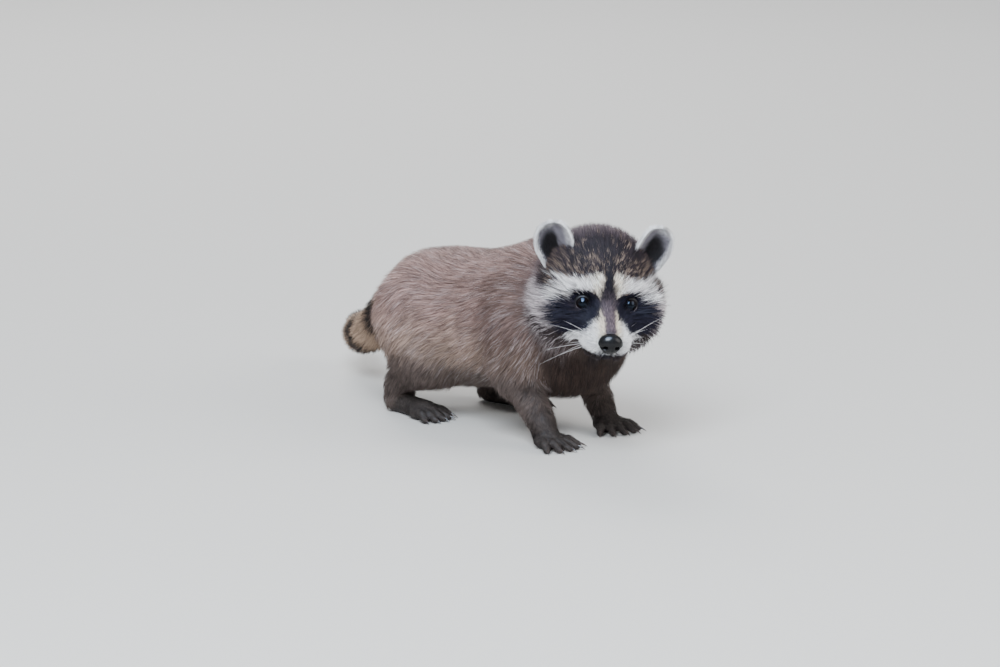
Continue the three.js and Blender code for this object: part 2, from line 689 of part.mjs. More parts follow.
// The lids are one ring round the opening, a little wider than it is tall.
function lidRing(s, grow = 0) {
  const look = gaze(s);
  const across = vec(0, 0, 1).cross(look).normalize();
  const up = look.clone().cross(across);
  const centre = vec(...EYE_AT(s));
  const points = [];
  for (let i = 0; i < LID.around; i++) {
    const angle = (i / LID.around) * 2 * Math.PI;
    const out = across.clone().multiplyScalar(Math.cos(angle) * Math.sin(LID.wide));
    out.addScaledVector(up, Math.sin(angle) * Math.sin(LID.tall)).addScaledVector(look, 0.66).normalize();
    const rim = centre.clone().addScaledVector(out, LID.radius);
    const outward = out.clone().addScaledVector(look, -out.dot(look)).normalize();
    for (let j = 0; j < LID.sides; j++) {
      const turn = (j / LID.sides) * 2 * Math.PI;
      const r = LID.tube + grow;
      points.push(
        rim.clone().addScaledVector(outward, Math.cos(turn) * r).addScaledVector(look, Math.sin(turn) * r),
      );
    }
  }
  const faces = [];
  for (let i = 0; i < LID.around; i++)
    for (let j = 0; j < LID.sides; j++) {
      const [i1, j1] = [(i + 1) % LID.around, (j + 1) % LID.sides];
      const [a, b] = [i * LID.sides + j, i1 * LID.sides + j];
      const [c, d] = [i1 * LID.sides + j1, i * LID.sides + j1];
      faces.push(a, b, c, a, c, d);
    }
  return closed(points.map((p) => p.toArray()), faces, headMatrix);
}
const eyeball = (s, grow = 0) => {
  const r = EYE_RADIUS + grow;
  return ball([r, r, r], 12, 8, atHead(...EYE_AT(s)));
};
// The clear way from the eyeball out between the lids.
function eyeOpening(s) {
  const look = gaze(s);
  const at = vec(...EYE_AT(s)).addScaledVector(look, 8);
  const turn = new THREE.Matrix4().makeBasis(
    vec(0, 0, 1).cross(look).normalize(),
    look,
    vec(0, 0, 1).cross(look).normalize().cross(look),
  );
  return ball([5.3, 10, 4.8], 12, 6, atHead(at.x, at.y, at.z).multiply(turn));
}

// An ear is a shell: u runs from its base to its rounded tip, v from its inner to its outer edge.
const EAR = {
  at: [34, -45, 15],
  length: 39,
  width: 32,
  cup: 12, // depth of the hollow
  thick: 3.6,
  lean: 0.36, // radians from upright, outwards
  face: 0.24, // radians from straight ahead, outwards
  steps: 5,
  spans: 7,
};
const EAR_WIDEST = 0.45; // share of its length
function earSolid(s) {
  const axis = vec(s * Math.sin(EAR.lean), -0.06, Math.cos(EAR.lean)).normalize();
  const facing = vec(s * Math.sin(EAR.face), Math.cos(EAR.face), 0.18);
  facing.addScaledVector(axis, -facing.dot(axis)).normalize();
  const outward = facing.clone().cross(axis).multiplyScalar(-s).normalize();
  if (outward.x * s < 0) outward.negate();
  const base = vec(s * EAR.at[0], EAR.at[1], EAR.at[2]);
  const halfWidth = (u) => {
    const past = (u - EAR_WIDEST) / (1.01 - EAR_WIDEST);
    return (EAR.width / 2) * (past < 0 ? mix(0.8, 1, u / EAR_WIDEST) : Math.sqrt(1 - past ** 2.3));
  };
  const point = (u, v, back) => {
    const w = halfWidth(u);
    const rim = Math.min(1, Math.max(Math.abs(v), u));
    const cup = EAR.cup * (1 - v * v) * (1 - 0.55 * u * u);
    const thick = EAR.thick * mix(1.15, 0.4, rim ** 4);
    return base
      .clone()
      .addScaledVector(axis, EAR.length * u - 3)
      .addScaledVector(outward, v * w + 2.5 * u * (1 - u) * 2)
      .addScaledVector(facing, -cup + EAR.cup * 0.55 - (back ? thick : 0) - 3 * u * u);
  };
  const points = [];
  const rows = EAR.steps;
  const columns = EAR.spans;
  for (const back of [0, 1])
    for (let i = 0; i <= rows; i++)
      for (let j = 0; j <= columns; j++)
        points.push(point((i / rows) * 0.995, (j / columns) * 2 - 1, back));
  const id = (i, j, back) => (back * (rows + 1) + i) * (columns + 1) + j;
  const faces = [];
  const quad = (a, b, c, d) => faces.push(a, b, c, a, c, d);
  for (let i = 0; i < rows; i++)
    for (let j = 0; j < columns; j++) {
      quad(id(i, j, 0), id(i, j + 1, 0), id(i + 1, j + 1, 0), id(i + 1, j, 0));
      quad(id(i, j, 1), id(i + 1, j, 1), id(i + 1, j + 1, 1), id(i, j + 1, 1));
    }
  for (let i = 0; i < rows; i++) {
    quad(id(i, 0, 0), id(i + 1, 0, 0), id(i + 1, 0, 1), id(i, 0, 1));
    quad(id(i, columns, 0), id(i, columns, 1), id(i + 1, columns, 1), id(i + 1, columns, 0));
  }
  for (let j = 0; j < columns; j++) {
    quad(id(0, j, 0), id(0, j, 1), id(0, j + 1, 1), id(0, j + 1, 0));
    quad(id(rows, j, 0), id(rows, j + 1, 0), id(rows, j + 1, 1), id(rows, j, 1));
  }
  return closed(points.map((p) => p.toArray()), faces, headMatrix);
}

// A round rod swept through stations, each a point with a radius, and drawn to a point at both ends.
function sweep(stations, sides) {
  const points = [stations[0].at.toArray()];
  for (let i = 1; i < stations.length - 1; i++) {
    const along = stations[i + 1].at.clone().sub(stations[i - 1].at).normalize();
    const across = along.clone().cross(vec(0, 0, 1)).normalize();
    const up = across.clone().cross(along);
    for (let j = 0; j < sides; j++) {
      const turn = ((j + 0.5) / sides) * 2 * Math.PI;
      const p = stations[i].at.clone().addScaledVector(across, Math.cos(turn) * stations[i].r);
      points.push(p.addScaledVector(up, Math.sin(turn) * stations[i].r).toArray());
    }
  }
  points.push(stations.at(-1).at.toArray());
  const last = points.length - 1;
  const faces = [];
  for (let j = 0; j < sides; j++) {
    const k = (j + 1) % sides;
    faces.push(0, 1 + k, 1 + j, last, last - sides + j, last - sides + k);
    for (let i = 0; i < stations.length - 3; i++) {
      const [a, b] = [1 + i * sides, 1 + (i + 1) * sides];
      faces.push(a + j, a + k, b + k, a + j, b + k, b + j);
    }
  }
  return closed(points, faces);
}

// A solid of these points and faces, turned right side out.
function closed(points, faces, matrix) {
  const geometry = new THREE.BufferGeometry();
  geometry.setAttribute("position", new THREE.Float32BufferAttribute(points.flat(), 3));
  geometry.setIndex(faces);
  const solid = solidOf(geometry, matrix);
  if (solid.volume() > 0) return solid;
  geometry.setIndex(faces.reverse());
  return solidOf(geometry, matrix);
}

const TOE_SIDES = 5;
function toeSolid({ root, knuckle, tip, ahead, radius }) {
  const fleshy = radius + COAT.paw.tips;
  const at = (p, along, up) => vec(p[0] + ahead[0] * along, p[1] + ahead[1] * along, p[2] + up);
  return sweep(
    [
      { at: at(root, -2, 0), r: 0 },
      { at: at(root, 0, 0), r: fleshy },
      { at: at(knuckle, 0, 0.4), r: fleshy },
      { at: at(tip, 0.5, 0), r: radius },
      { at: at(tip, radius * 1.2, 0), r: 0 },
    ],
    TOE_SIDES,
  );
}

// The lower jaw lies under a curved line from the chin back to the corners of the mouth.
function jawRegion(grow = 0) {
  const outline = new THREE.Shape();
  outline.moveTo(-5 - grow, -60);
  outline.lineTo(-5 - grow, -24.6 + grow);
  outline.quadraticCurveTo(16, -29.4 + grow, 27, -27.6 + grow);
  outline.lineTo(60, -25 + grow);
  outline.lineTo(60, -60);
  outline.closePath();
  const width = 80;
  const slab = new THREE.ExtrudeGeometry(outline, { depth: width, bevelEnabled: false, curveSegments: 6 });
  const place = new THREE.Matrix4().makeBasis(vec(0, 1, 0), vec(0, 0, 1), vec(1, 0, 0));
  place.setPosition(-width / 2, 0, 0);
  return solidOf(slab, headMatrix.clone().multiply(place));
}

// A claw is a curved cone from the tip of a toe.
const CLAW_SIDES = 3;
function clawSolid({ tip, ahead, radius }, size) {
  const at = (out, up) => {
    const reach = radius + out;
    return vec(tip[0] + ahead[0] * reach, tip[1] + ahead[1] * reach, tip[2] + up);
  };
  return sweep(
    [
      { at: at(-2, 0.6), r: 0 },
      { at: at(-1.2, 0.8), r: 1.25 },
      { at: at(size * 0.45, 0.6), r: 0.9 },
      { at: at(size, -radius * 0.6), r: 0 },
    ],
    CLAW_SIDES,
  );
}

// ---------------------------------------------------------------- cores of the parts
const cellOf = {
  head: 9.6,
  muzzle: 5.2,
  jaw: 7,
  neck: 17,
  torso: 20,
  limb: 11,
  tail: 12,
};

// The box round some points, with room on every side.
function boxRound(points, room) {
  const box = new THREE.Box3().setFromPoints(points);
  return box.expandByScalar(room);
}
const coreIn = (box, cell) => solidOf(polygonize(core, box.min, box.max, cell));
const headCorners = (lo, hi) =>
  [lo, hi].flatMap((a) => [lo, hi].flatMap((b) => [lo, hi].map((c) => headPoint(a[0], b[1], c[2]))));

const headBox = boxRound(headCorners([-50, -84, -48], [50, 20, 46]), 0);
const muzzleBox = boxRound(headCorners([-26, 0, -36], [26, 42, 18]), 0);
const jawBox = boxRound(headCorners([-24, -16, -46], [24, 34, -10]), 0);
const neckBox = new THREE.Box3(vec(-80, -160, 40), vec(50, -62, 172));
const torsoBox = new THREE.Box3(vec(-80, -130, 18), vec(80, 160, 160));
const floorBlock = halfSpace(vec(0, 0, SOLE), vec(0, 0, 1));

// A side's legs lie beyond slanting planes under the body, each in a block between its own joints.
const LEG_BLOCK = { inner: 4, outer: 100, floor: -10, top: 110 };
function legRegions(side, grow = 0) {
  const s = SIDES[side];
  const f = FRONT[side];
  const h = HIND[side];
  const [near, far] = s > 0 ? [LEG_BLOCK.inner, LEG_BLOCK.outer] : [-LEG_BLOCK.outer, -LEG_BLOCK.inner];
  const between = (y0, y1) => block(vec(near, y0, LEG_BLOCK.floor), vec(far, y1, LEG_BLOCK.top), grow);
  return {
    front: beyond(frontLegCut(s), GAP / 2 - grow).intersect(between(f.wrist[1] - 60, f.elbow[1] + 22)),
    hind: beyond(hindLegCut(s), GAP / 2 - grow).intersect(between(h.knee[1] - 26, h.hock[1] + 30)),
  };
}
const legParts = { left: legRegions("left"), right: legRegions("right") };

// What the body leaves free for the legs is a little larger than the legs' own regions.
const legRooms = Object.keys(SIDES).flatMap((side) => Object.values(legRegions(side, GAP)));
const clearOfLegs = (solid) => legRooms.reduce((rest, room) => rest.subtract(room), solid);

const cores = {};
const lids = { left: lidRing(HEAD_SIDES.left), right: lidRing(HEAD_SIDES.right) };
let headCore = coreIn(headBox, cellOf.head).intersect(beyond(muzzleCut)).intersect(before(neckCut));
for (const ring of Object.values(lids)) headCore = headCore.add(ring);
for (const s of Object.values(SIDES)) headCore = headCore.subtract(eyeball(s, GAP)).subtract(eyeOpening(s));
cores.head = clearOfLegs(headCore.subtract(jawRegion(GAP)));
cores.muzzle = coreIn(muzzleBox, cellOf.muzzle)
  .intersect(before(muzzleCut))
  .subtract(jawRegion(GAP))
  .subtract(nosePad(GAP))
  .subtract(lidRing(1, GAP))
  .subtract(lidRing(-1, GAP));
cores.lower_jaw = coreIn(jawBox, cellOf.jaw).intersect(jawRegion());
cores.neck = clearOfLegs(
  coreIn(neckBox, cellOf.neck).intersect(beyond(neckCut)).intersect(before(shoulderCut)),
);
cores.torso = clearOfLegs(
  coreIn(torsoBox, cellOf.torso).intersect(beyond(shoulderCut)).intersect(before(tailCut(0))),
);

for (const [side, s] of Object.entries(SIDES)) {
  const f = FRONT[side];
  const h = HIND[side];
  const room = 30;
  const frontBox = boxRound([f.shoulder, f.elbow, f.wrist].map((p) => vec(...p)), room);
  frontBox.min.z = WRIST - 8;
  const hindBox = boxRound([h.hip, h.knee, h.hock].map((p) => vec(...p)), room + 8);
  hindBox.min.z = HOCK - 8;
  cores["front_leg_" + side] = coreIn(frontBox, cellOf.limb)
    .intersect(legParts[side].front)
    .intersect(halfSpace(vec(0, 0, WRIST), vec(0, 0, 1), GAP / 2));
  cores["hind_leg_" + side] = coreIn(hindBox, cellOf.limb)
    .intersect(legParts[side].hind)
    .intersect(halfSpace(vec(0, 0, HOCK), vec(0, 0, 1), GAP / 2));
  for (const [limb, height, at, clawSize] of [
    ["front", WRIST, f.palm, 5],
    ["hind", HOCK, h.ball, 4.5],
  ]) {
    const toes = paws[limb + "_" + side];
    const ankle = limb === "hind" ? h.hock : f.wrist;
    const outline = toes.flatMap((toe) => [toe.tip, toe.root]).concat([at, ankle]);
    const box = boxRound(outline.map((p) => vec(...p)), 14);
    box.min.z = -9;
    box.max.z = height + 7;
    let paw = coreIn(box, cellOf.limb)
      .intersect(floorBlock)
      .intersect(halfSpace(vec(0, 0, height), vec(0, 0, -1), GAP / 2));
    for (const toe of toes) paw = paw.add(toeSolid(toe)).add(clawSolid(toe, clawSize));
    cores[limb + "_paw_" + side] = paw.intersect(floorBlock);
  }
}

const tailBox = boxRound(tailLine.getPoints(20), 26);
tailBox.min.y = 96;
const tailCore = coreIn(tailBox, cellOf.tail);
for (let band = 0; band < TAIL_BANDS; band++) {
  let part = tailCore.intersect(beyond(tailCut(band)));
  if (band < TAIL_BANDS - 1) part = part.intersect(before(tailCut(band + 1)));
  cores["tail_" + (band + 1)] = clearOfLegs(part);
}

// ---------------------------------------------------------------- locks of the parts
const isPast = (cut, p) => p.clone().sub(cut.point).dot(cut.normal) > 0;
const onLeg = (p) =>
  Object.entries(SIDES).some(([side, s]) => {
    const nearFront = Math.abs(p.y - FRONT[side].elbow[1]) < 30;
    const nearHind = p.y > HIND[side].knee[1] - 22;
    const cut = nearFront ? frontLegCut(s) : hindLegCut(s);
    return Math.sign(p.x) === s && (nearFront || nearHind) && isPast(cut, p);
  });

const underBelly = (p) => gradient(core, p).normalize().z < -0.6;

const locks = { head: [...cheekLocks(1), ...cheekLocks(-1), ...napeLocks()] };
locks.neck = locksRound({
  line: neckLine,
  from: 0.38,
  to: 0.92,
  rows: 2,
  spacing: 25,
  length: 46,
  width: 22,
  depth: 6,
  lie: neckLie,
  keep: (p) => isPast(neckCut, p) && !isPast(shoulderCut, p) && !onLeg(p),
  seed: 11,
});
locks.torso = locksRound({
  line: spine,
  from: 0.06,
  to: 0.86,
  rows: 5,
  spacing: 34,
  length: 56,
  width: 29,
  depth: 7,
  lie: bodyLie,
  keep: (p) => isPast(shoulderCut, p) && !onLeg(p) && !underBelly(p),
  seed: 23,
});

// One row fans round the outer side of each upper leg, over the given angles from straight out.
function legLocks(s, inside, { count, from, to, length, width, depth }, seed) {
  const random = seeded(seed);
  const found = Array.from({ length: count }, (_, i) => {
    const angle = mix(from, to, i / (count - 1));
    const root = coreAlong(inside, vec(s * Math.cos(angle), Math.sin(angle), 0));
    const rise = coatOverCore(root) * mix(0.8, 1, random()) - depth * 0.35;
    return { line: lockLine(root, legLie, length * mix(0.9, 1.1, random()), rise), width, depth };
  });
  return found.filter(liesFlat);
}
const ARM_LOCKS = { count: 3, from: -1, to: 0.9, length: 28, width: 22, depth: 5 };
const THIGH_LOCKS = { count: 4, from: -0.95, to: 0.95, length: 34, width: 26, depth: 6 };
for (const [side, s] of Object.entries(SIDES)) {
  const { elbow } = FRONT[side];
  const { hip, hock } = HIND[side];
  locks["front_leg_" + side] = legLocks(s, vec(elbow[0] - s * 4, elbow[1] - 6, 66), ARM_LOCKS, 80 + s);
  locks["hind_leg_" + side] = legLocks(s, vec(hip[0], hock[1] - 20, 68), THIGH_LOCKS, 90 + s);
}
for (let band = 0; band < TAIL_BANDS; band++) {
  const last = band === TAIL_BANDS - 1;
  locks["tail_" + (band + 1)] = locksRound({
    line: tailLine,
    from: mix(TAIL_FROM, 1, (band + 0.3) / TAIL_BANDS),
    to: mix(TAIL_FROM, 1, (band + (last ? 0.62 : 0.3)) / TAIL_BANDS),
    rows: last ? 2 : 1,
    spacing: 19,
    length: 40,
    width: 18,
    depth: 5.5,
    lie: tailLie,
    seed: 60 + band,
  });
}

// ---------------------------------------------------------------- each part, clear of the locks over it
const ORDER = [
  { name: "eye_left", colour: COLOURS.eye },
  { name: "eye_right", colour: COLOURS.eye },
  { name: "nose", colour: COLOURS.nose },
  { name: "muzzle", colour: COLOURS.pale },
  { name: "lower_jaw", colour: COLOURS.pale },
  { name: "head", colour: COLOURS.crown },
  { name: "ear_left", colour: COLOURS.pale },
  { name: "ear_right", colour: COLOURS.pale },
  { name: "neck", colour: COLOURS.coat },
  { name: "torso", colour: COLOURS.coat },
  ...["front_leg_left", "front_leg_right", "hind_leg_left", "hind_leg_right"].map((name) => ({
    name,
    colour: COLOURS.limb,
  })),
  ...["front_paw_left", "front_paw_right", "hind_paw_left", "hind_paw_right"].map((name) => ({
    name,
    colour: COLOURS.paw,
  })),
  ...Array.from({ length: TAIL_BANDS }, (_, i) => ({
    name: "tail_" + (i + 1),
    colour: i % 2 ? COLOURS.dark : COLOURS.coat,
  })),
];

cores.eye_left = eyeball(HEAD_SIDES.left);
cores.eye_right = eyeball(HEAD_SIDES.right);
cores.nose = noseSolid();
const headSkinShell = solidOf(
  polygonize((p) => core(p) - GAP * 1.3, headBox.min, headBox.max, cellOf.head),
);
for (const [side, s] of Object.entries(HEAD_SIDES))
  cores["ear_" + side] = earSolid(s).subtract(headSkinShell);

// The torso's surface round the legs, a little outside the real one, to keep the legs' own locks off it.
const torsoShell = solidOf(polygonize((p) => core(p) - GAP * 1.5, torsoBox.min, torsoBox.max, cellOf.torso))
  .intersect(beyond(shoulderCut))
  .subtract(legParts.left.front.add(legParts.left.hind))
  .subtract(legParts.right.front.add(legParts.right.hind));

const boxesTouch = (a, b) => [0, 1, 2].every((i) => a.min[i] <= b.max[i] && b.min[i] <= a.max[i]);

// The plane behind which a part's own locks stay, so that they lie back from the seam before it.
const frontSeam = { neck: [neckCut], torso: [shoulderCut] };
for (let band = 0; band < TAIL_BANDS; band++) frontSeam["tail_" + (band + 1)] = [tailCut(band)];

// A lock hangs over the parts named after its own, so those are cut clear of its thicker stand-in.
function withLocks(name, earlier) {
  let solid = cores[name];
  for (const lock of locks[name] ?? []) solid = solid.add(lockSolid(lock));
  for (const cut of frontSeam[name] ?? []) solid = solid.intersect(beyond(cut));
  if (name.includes("_leg_")) solid = solid.subtract(torsoShell);
  const box = solid.boundingBox();
  for (const shadow of earlier) if (boxesTouch(box, shadow.boundingBox())) solid = solid.subtract(shadow);
  return largestBody(solid);
}

const raccoon = new THREE.Group();
const shadows = [];
for (const { name, colour } of ORDER) {
  const solid = withLocks(name, shadows);
  const wet = name.startsWith("eye") || name === "nose";
  const finish = new THREE.MeshStandardMaterial({ color: colour, roughness: wet ? 0.15 : 0.85 });
  const mesh = new THREE.Mesh(geometryOf(solid), finish);
  mesh.name = name;
  raccoon.add(mesh);
  for (const lock of locks[name] ?? []) shadows.push(lockSolid(lock, INFLATE).add(lockSolid(lock)));
}

// The part's own frame has its origin on the floor, under the middle of its box.
raccoon.updateMatrixWorld(true);
const bounds = new THREE.Box3().setFromObject(raccoon, true);
const middle = bounds.getCenter(vec(0, 0, 0));
raccoon.position.set(-middle.x, -middle.y, 0);

export default raccoon;
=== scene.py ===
"""A raccoon kit in its coat: one skin over the frame's solids, tufts of fur that follow the lie of the
coat, eyes, lids, nose, claws and whiskers, on a pale studio floor.

Shapes are worked out in millimetres in the animal's own frame, as in the part's source, and placed in the
row frame in metres by where the frame's eyes are.
"""

import math
from collections import namedtuple
from functools import partial

import bpy
import numpy as np
from mathutils import Matrix, Vector
from mathutils.kdtree import KDTree


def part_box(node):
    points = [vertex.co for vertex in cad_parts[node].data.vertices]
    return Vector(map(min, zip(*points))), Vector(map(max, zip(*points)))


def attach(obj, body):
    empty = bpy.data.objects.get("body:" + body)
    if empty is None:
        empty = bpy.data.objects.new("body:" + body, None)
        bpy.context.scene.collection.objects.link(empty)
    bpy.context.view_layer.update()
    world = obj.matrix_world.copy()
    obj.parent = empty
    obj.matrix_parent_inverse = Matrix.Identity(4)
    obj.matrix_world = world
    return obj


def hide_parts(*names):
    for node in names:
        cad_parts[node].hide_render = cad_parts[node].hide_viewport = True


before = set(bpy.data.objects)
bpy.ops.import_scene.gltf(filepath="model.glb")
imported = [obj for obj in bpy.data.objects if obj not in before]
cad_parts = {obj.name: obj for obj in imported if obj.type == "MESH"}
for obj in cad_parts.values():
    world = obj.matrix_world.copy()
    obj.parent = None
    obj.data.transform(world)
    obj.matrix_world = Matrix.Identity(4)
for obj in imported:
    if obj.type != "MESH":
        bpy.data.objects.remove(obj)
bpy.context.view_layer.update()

bl_info = {
    "name": "Raccoon Kit",
    "version": (1, 0, 0),
    "blender": (4, 5, 0),
    "location": "3D View > Sidebar > Raccoon",
    "description": "Builds a raccoon kit's skin, coat, eyes, nose, claws and whiskers over its solids",
    "category": "Object",
}

MM = 0.001


def srgb(*rgb):
    """A display colour from 0 to 255 as linear light."""
    return tuple(((c / 255 + 0.055) / 1.055) ** 2.4 for c in rgb)


def shade(name, description, *rgb):
    """A colour that a user may change."""
    return bpy.props.FloatVectorProperty(
        name=name, description=description, subtype="COLOR", size=3, min=0, max=1, default=srgb(*rgb)
    )


def length(name, description, millimetres):
    """A length that a user may change."""
    return bpy.props.FloatProperty(
        name=name, description=description, unit="LENGTH", min=0.0002, max=0.2, default=millimetres * MM
    )


class HeadColours(bpy.types.PropertyGroup):
    """Colours of the head's fur"""

    crown: shade("Crown", "Dark fur of the crown", 44, 36, 41)
    nape: shade("Top of the head", "Lighter fur at the back of the crown", 108, 95, 101)
    fleck: shade("Flecks", "Tan flecks between brow and crown", 142, 124, 111)
    brow: shade("Brow", "White band over each eye", 253, 249, 251)
    cream: shade("Cream", "Warm edge of the pale bands, beside the bridge", 252, 236, 214)
    mask: shade("Mask", "Black mask round the eyes", 31, 30, 44)
    stripe: shade("Stripe", "Dark stripe down the forehead", 35, 32, 40)
    bridge: shade("Bridge", "Grey-brown bridge of the nose", 121, 105, 112)
    muzzle: shade("Muzzle", "White sides of the muzzle", 252, 251, 254)
    cheek: shade("Cheek", "Grey-brown fur under the mask", 58, 50, 51)
    ruff: shade("Ruff", "Pale ruff behind the mask", 199, 189, 192)
    ear: shade("Ear", "Grey fur of the ears", 147, 143, 153)
    ear_rim: shade("Ear rim", "White edge of the ears", 252, 251, 254)
    hollow: shade("Ear hollow", "Dark hollow of the ears", 20, 17, 19)


class BodyColours(bpy.types.PropertyGroup):
    """Colours of the body's fur"""

    back: shade("Back", "Brown fur of the back", 173, 143, 136)
    flank: shade("Flanks", "Tan fur of the flanks", 185, 159, 144)
    under: shade("Underfur", "Dense fur at the roots", 120, 101, 92)
    tips: shade("Dark tips", "Tips of the guard hairs", 73, 58, 52)
    neck: shade("Neck", "Grey-brown fur of the neck's sides", 84, 69, 65)
    chest: shade("Chest", "Dark fur of the throat and chest", 47, 39, 37)
    belly: shade("Belly", "Grey-brown fur of the belly", 99, 88, 82)
    leg: shade("Legs", "Brown-grey fur of the legs", 88, 77, 73)
    paw: shade("Paws", "Short fur of the paws", 71, 64, 61)
    ring: shade("Light rings", "Light rings of the tail", 176, 150, 129)
    dark_ring: shade("Dark rings", "Dark rings of the tail", 43, 36, 34)
    skin: shade("Bare skin", "Bare skin of the soles and lids", 44, 38, 38)


class CoatSizes(bpy.types.PropertyGroup):
    """Lengths of the coat and how densely it grows"""

    density: bpy.props.FloatProperty(
        name="Density", description="Share of the full coat that is grown", min=0.05, max=1.2, default=1.0
    )
    face: length("Face", "Length of the fur on the muzzle and mask", 3.6)
    brow: length("Brow", "Length of the fur on the brow", 8.0)
    crown: length("Crown", "Length of the fur on the crown", 14.5)
    cheek: length("Cheek", "Length of the cheek's ruff", 22.0)
    neck: length("Neck", "Length of the fur on the neck", 26.0)
    body: length("Body", "Length of the fur on the body", 29.0)
    belly: length("Belly", "Length of the fur on the belly", 20.0)
    thigh: length("Upper legs", "Length of the fur on the upper legs", 23.0)
    limb: length("Lower legs", "Length of the fur on the lower legs", 9.0)
    paw: length("Paws", "Length of the fur on the paws", 3.4)
    tail: length("Tail", "Length of the fur on the tail", 30.0)
    whisker: length("Whiskers", "Length of the longest whiskers", 40.0)


class StageSettings(bpy.types.PropertyGroup):
    """The floor and the light"""

    floor: shade("Floor", "Colour of the floor", 226, 224, 220)
    key: bpy.props.FloatProperty(
        name="Key light", description="Power of the main light", unit="POWER", min=0, default=160.0
    )
    fill: bpy.props.FloatProperty(
        name="Fill light", description="Power of the fill light", unit="POWER", min=0, default=46.0
    )
    sky: bpy.props.FloatProperty(
        name="Sky", description="Strength of the light from all round", min=0, max=4, default=0.58
    )


# ---------------------------------------------------------------- small helpers
def unit(v):
    """The same directions with length 1."""
    v = np.asarray(v, float)
    return v / np.maximum(np.linalg.norm(v, axis=-1, keepdims=True), 1e-9)


def ease(low, high, value):
    """0 below low, 1 above high, and a smooth step between them."""
    t = np.clip((value - low) / (high - low), 0, 1)
    return t * t * (3 - 2 * t)


def mix(a, b, t):
    """From a to b by t, row by row where t is one number for each row."""
    a, b, t = np.asarray(a), np.asarray(b), np.asarray(t)
    return a + (b - a) * (t[..., None] if np.ndim(a) > t.ndim or np.ndim(b) > t.ndim else t)


def drift(p, size, seed):
    """A smooth field of about -1 to 1 whose waves are about as long as size."""
    random = np.random.default_rng(seed)
    ways = unit(random.normal(size=(6, 3))) * 2 * math.pi / size
    return np.sin(p @ ways.T + random.uniform(0, 6.28, 6)).mean(1) * 1.7


def flat_colour(colour, n):
    """One colour for each of n points."""
    return np.tile(np.array(colour), (n, 1))


def halves(quads):
    """Two triangles for each quad."""
    return np.vstack([quads[:, [0, 1, 2]], quads[:, [0, 2, 3]]])


# ---------------------------------------------------------------- the head's own frame
HEAD_YAW, HEAD_PITCH, HEAD_ROLL = (math.radians(a) for a in (31.5, 17.0, 5.0))
HEAD_AT = np.array([-40.0, -168.0, 124.0])


def head_axes():
    level = np.array([-math.cos(HEAD_YAW), math.sin(HEAD_YAW), 0])
    ahead = np.array([-math.sin(HEAD_YAW), -math.cos(HEAD_YAW), 0])
    forward = ahead * math.cos(HEAD_PITCH) - np.array([0, 0, math.sin(HEAD_PITCH)])
    right = level * math.cos(HEAD_ROLL) - np.cross(forward, level) * math.sin(HEAD_ROLL)
    return np.array([right, forward, np.cross(right, forward)])


HEAD = head_axes()


def to_head(p):
    """Points of the body's frame in the head's own."""
    return (p - HEAD_AT) @ HEAD.T


def from_head(q):
    """Points of the head's frame in the body's."""
    return np.asarray(q, float) @ HEAD + HEAD_AT


def turned(v):
    """Directions of the head's frame in the body's."""
    return np.asarray(v, float) @ HEAD


# ---------------------------------------------------------------- the flesh, as a field
# Kinds of coat: half of a tuft's width, how high its tip stands over the skin, tufts for each square
# millimetre.
KINDS = ["face", "brow", "crown", "cheek", "neck", "body", "belly", "thigh", "limb", "paw", "tail"]
COAT = {
    "face": (0.17, 1.9, 3.0),
    "brow": (0.2, 4.2, 2.4),
    "crown": (0.23, 9.8, 1.75),
    "cheek": (0.29, 12.0, 1.15),
    "neck": (0.34, 15.0, 0.87),
    "body": (0.35, 15.0, 0.87),
    "belly": (0.36, 8.5, 0.55),
    "thigh": (0.34, 10.0, 0.66),
    "limb": (0.25, 3.6, 0.9),
    "paw": (0.19, 1.0, 1.3),
    "tail": (0.38, 13.5, 1.5),
}
WIDTH, HEIGHT, DENSITY = np.array([COAT[k] for k in KINDS]).T


def share_of(shares, *kinds):
    """How much of these kinds of coat there is at each point."""
    return sum(shares[:, KINDS.index(k)] for k in kinds)


Form = namedtuple("Form", "kind blend at axes radii end r0 r1")


def ball(kind, blend, at, radii, axes=None):
    """An ellipsoid, along its own axes where they are given."""
    return Form(kind, blend, np.array(at, float), axes, np.array(radii, float), None, 0, 0)


def rod(kind, blend, start, end, r0, r1):
    """A round rod that tapers from r0 to r1."""
    return Form(kind, blend, np.array(start, float), None, None, np.array(end, float), r0, r1)


WITHERS, LOIN, RUMP = (-58, 94), (8, 83), (68, 78)  # how far back and how high
TRUNK = [
    ball("body", 1, (-3, WITHERS[0], WITHERS[1]), (43, 52, 43)),
    ball("body", 34, (0, LOIN[0], LOIN[1]), (46, 72, 37)),
    ball("body", 34, (0, RUMP[0], RUMP[1]), (47, 52, 43)),
    rod("body", 24, (-3, WITHERS[0] + 6, WITHERS[1] + 18), (0, LOIN[0] + 6, LOIN[1] + 17), 30, 24),
    ball("belly", 20, (-3, WITHERS[0] - 4, 66), (32, 42, 24)),
    ball("belly", 22, (0, LOIN[0] + 18, 62), (38, 58, 20)),
    rod("neck", 26, (-2, -80, 110), (-20, -124, 126), 37, 31),
    rod("neck", 18, (-6, -96, 82), (-20, -126, 104), 28, 24),
]

# Shoulder, elbow, wrist and palm of the front legs, hip, knee, hock and sole of the hind legs, with the
# paw's turn in degrees.
FRONT = [
    ((33, -64, 92), (38, -50, 56), (37, -74, 20), (37, -83, 7), -6),
    ((-37, -70, 92), (-43, -62, 56), (-42, -93, 20), (-42, -102, 7), 8),
]
HIND = [
    ((30, 66, 84), (43, 26, 52), (42, 68, 24), (46, 32, 7), -10),
    ((-30, 72, 84), (-43, 42, 52), (-42, 86, 24), (-46, 50, 7), 10),
]


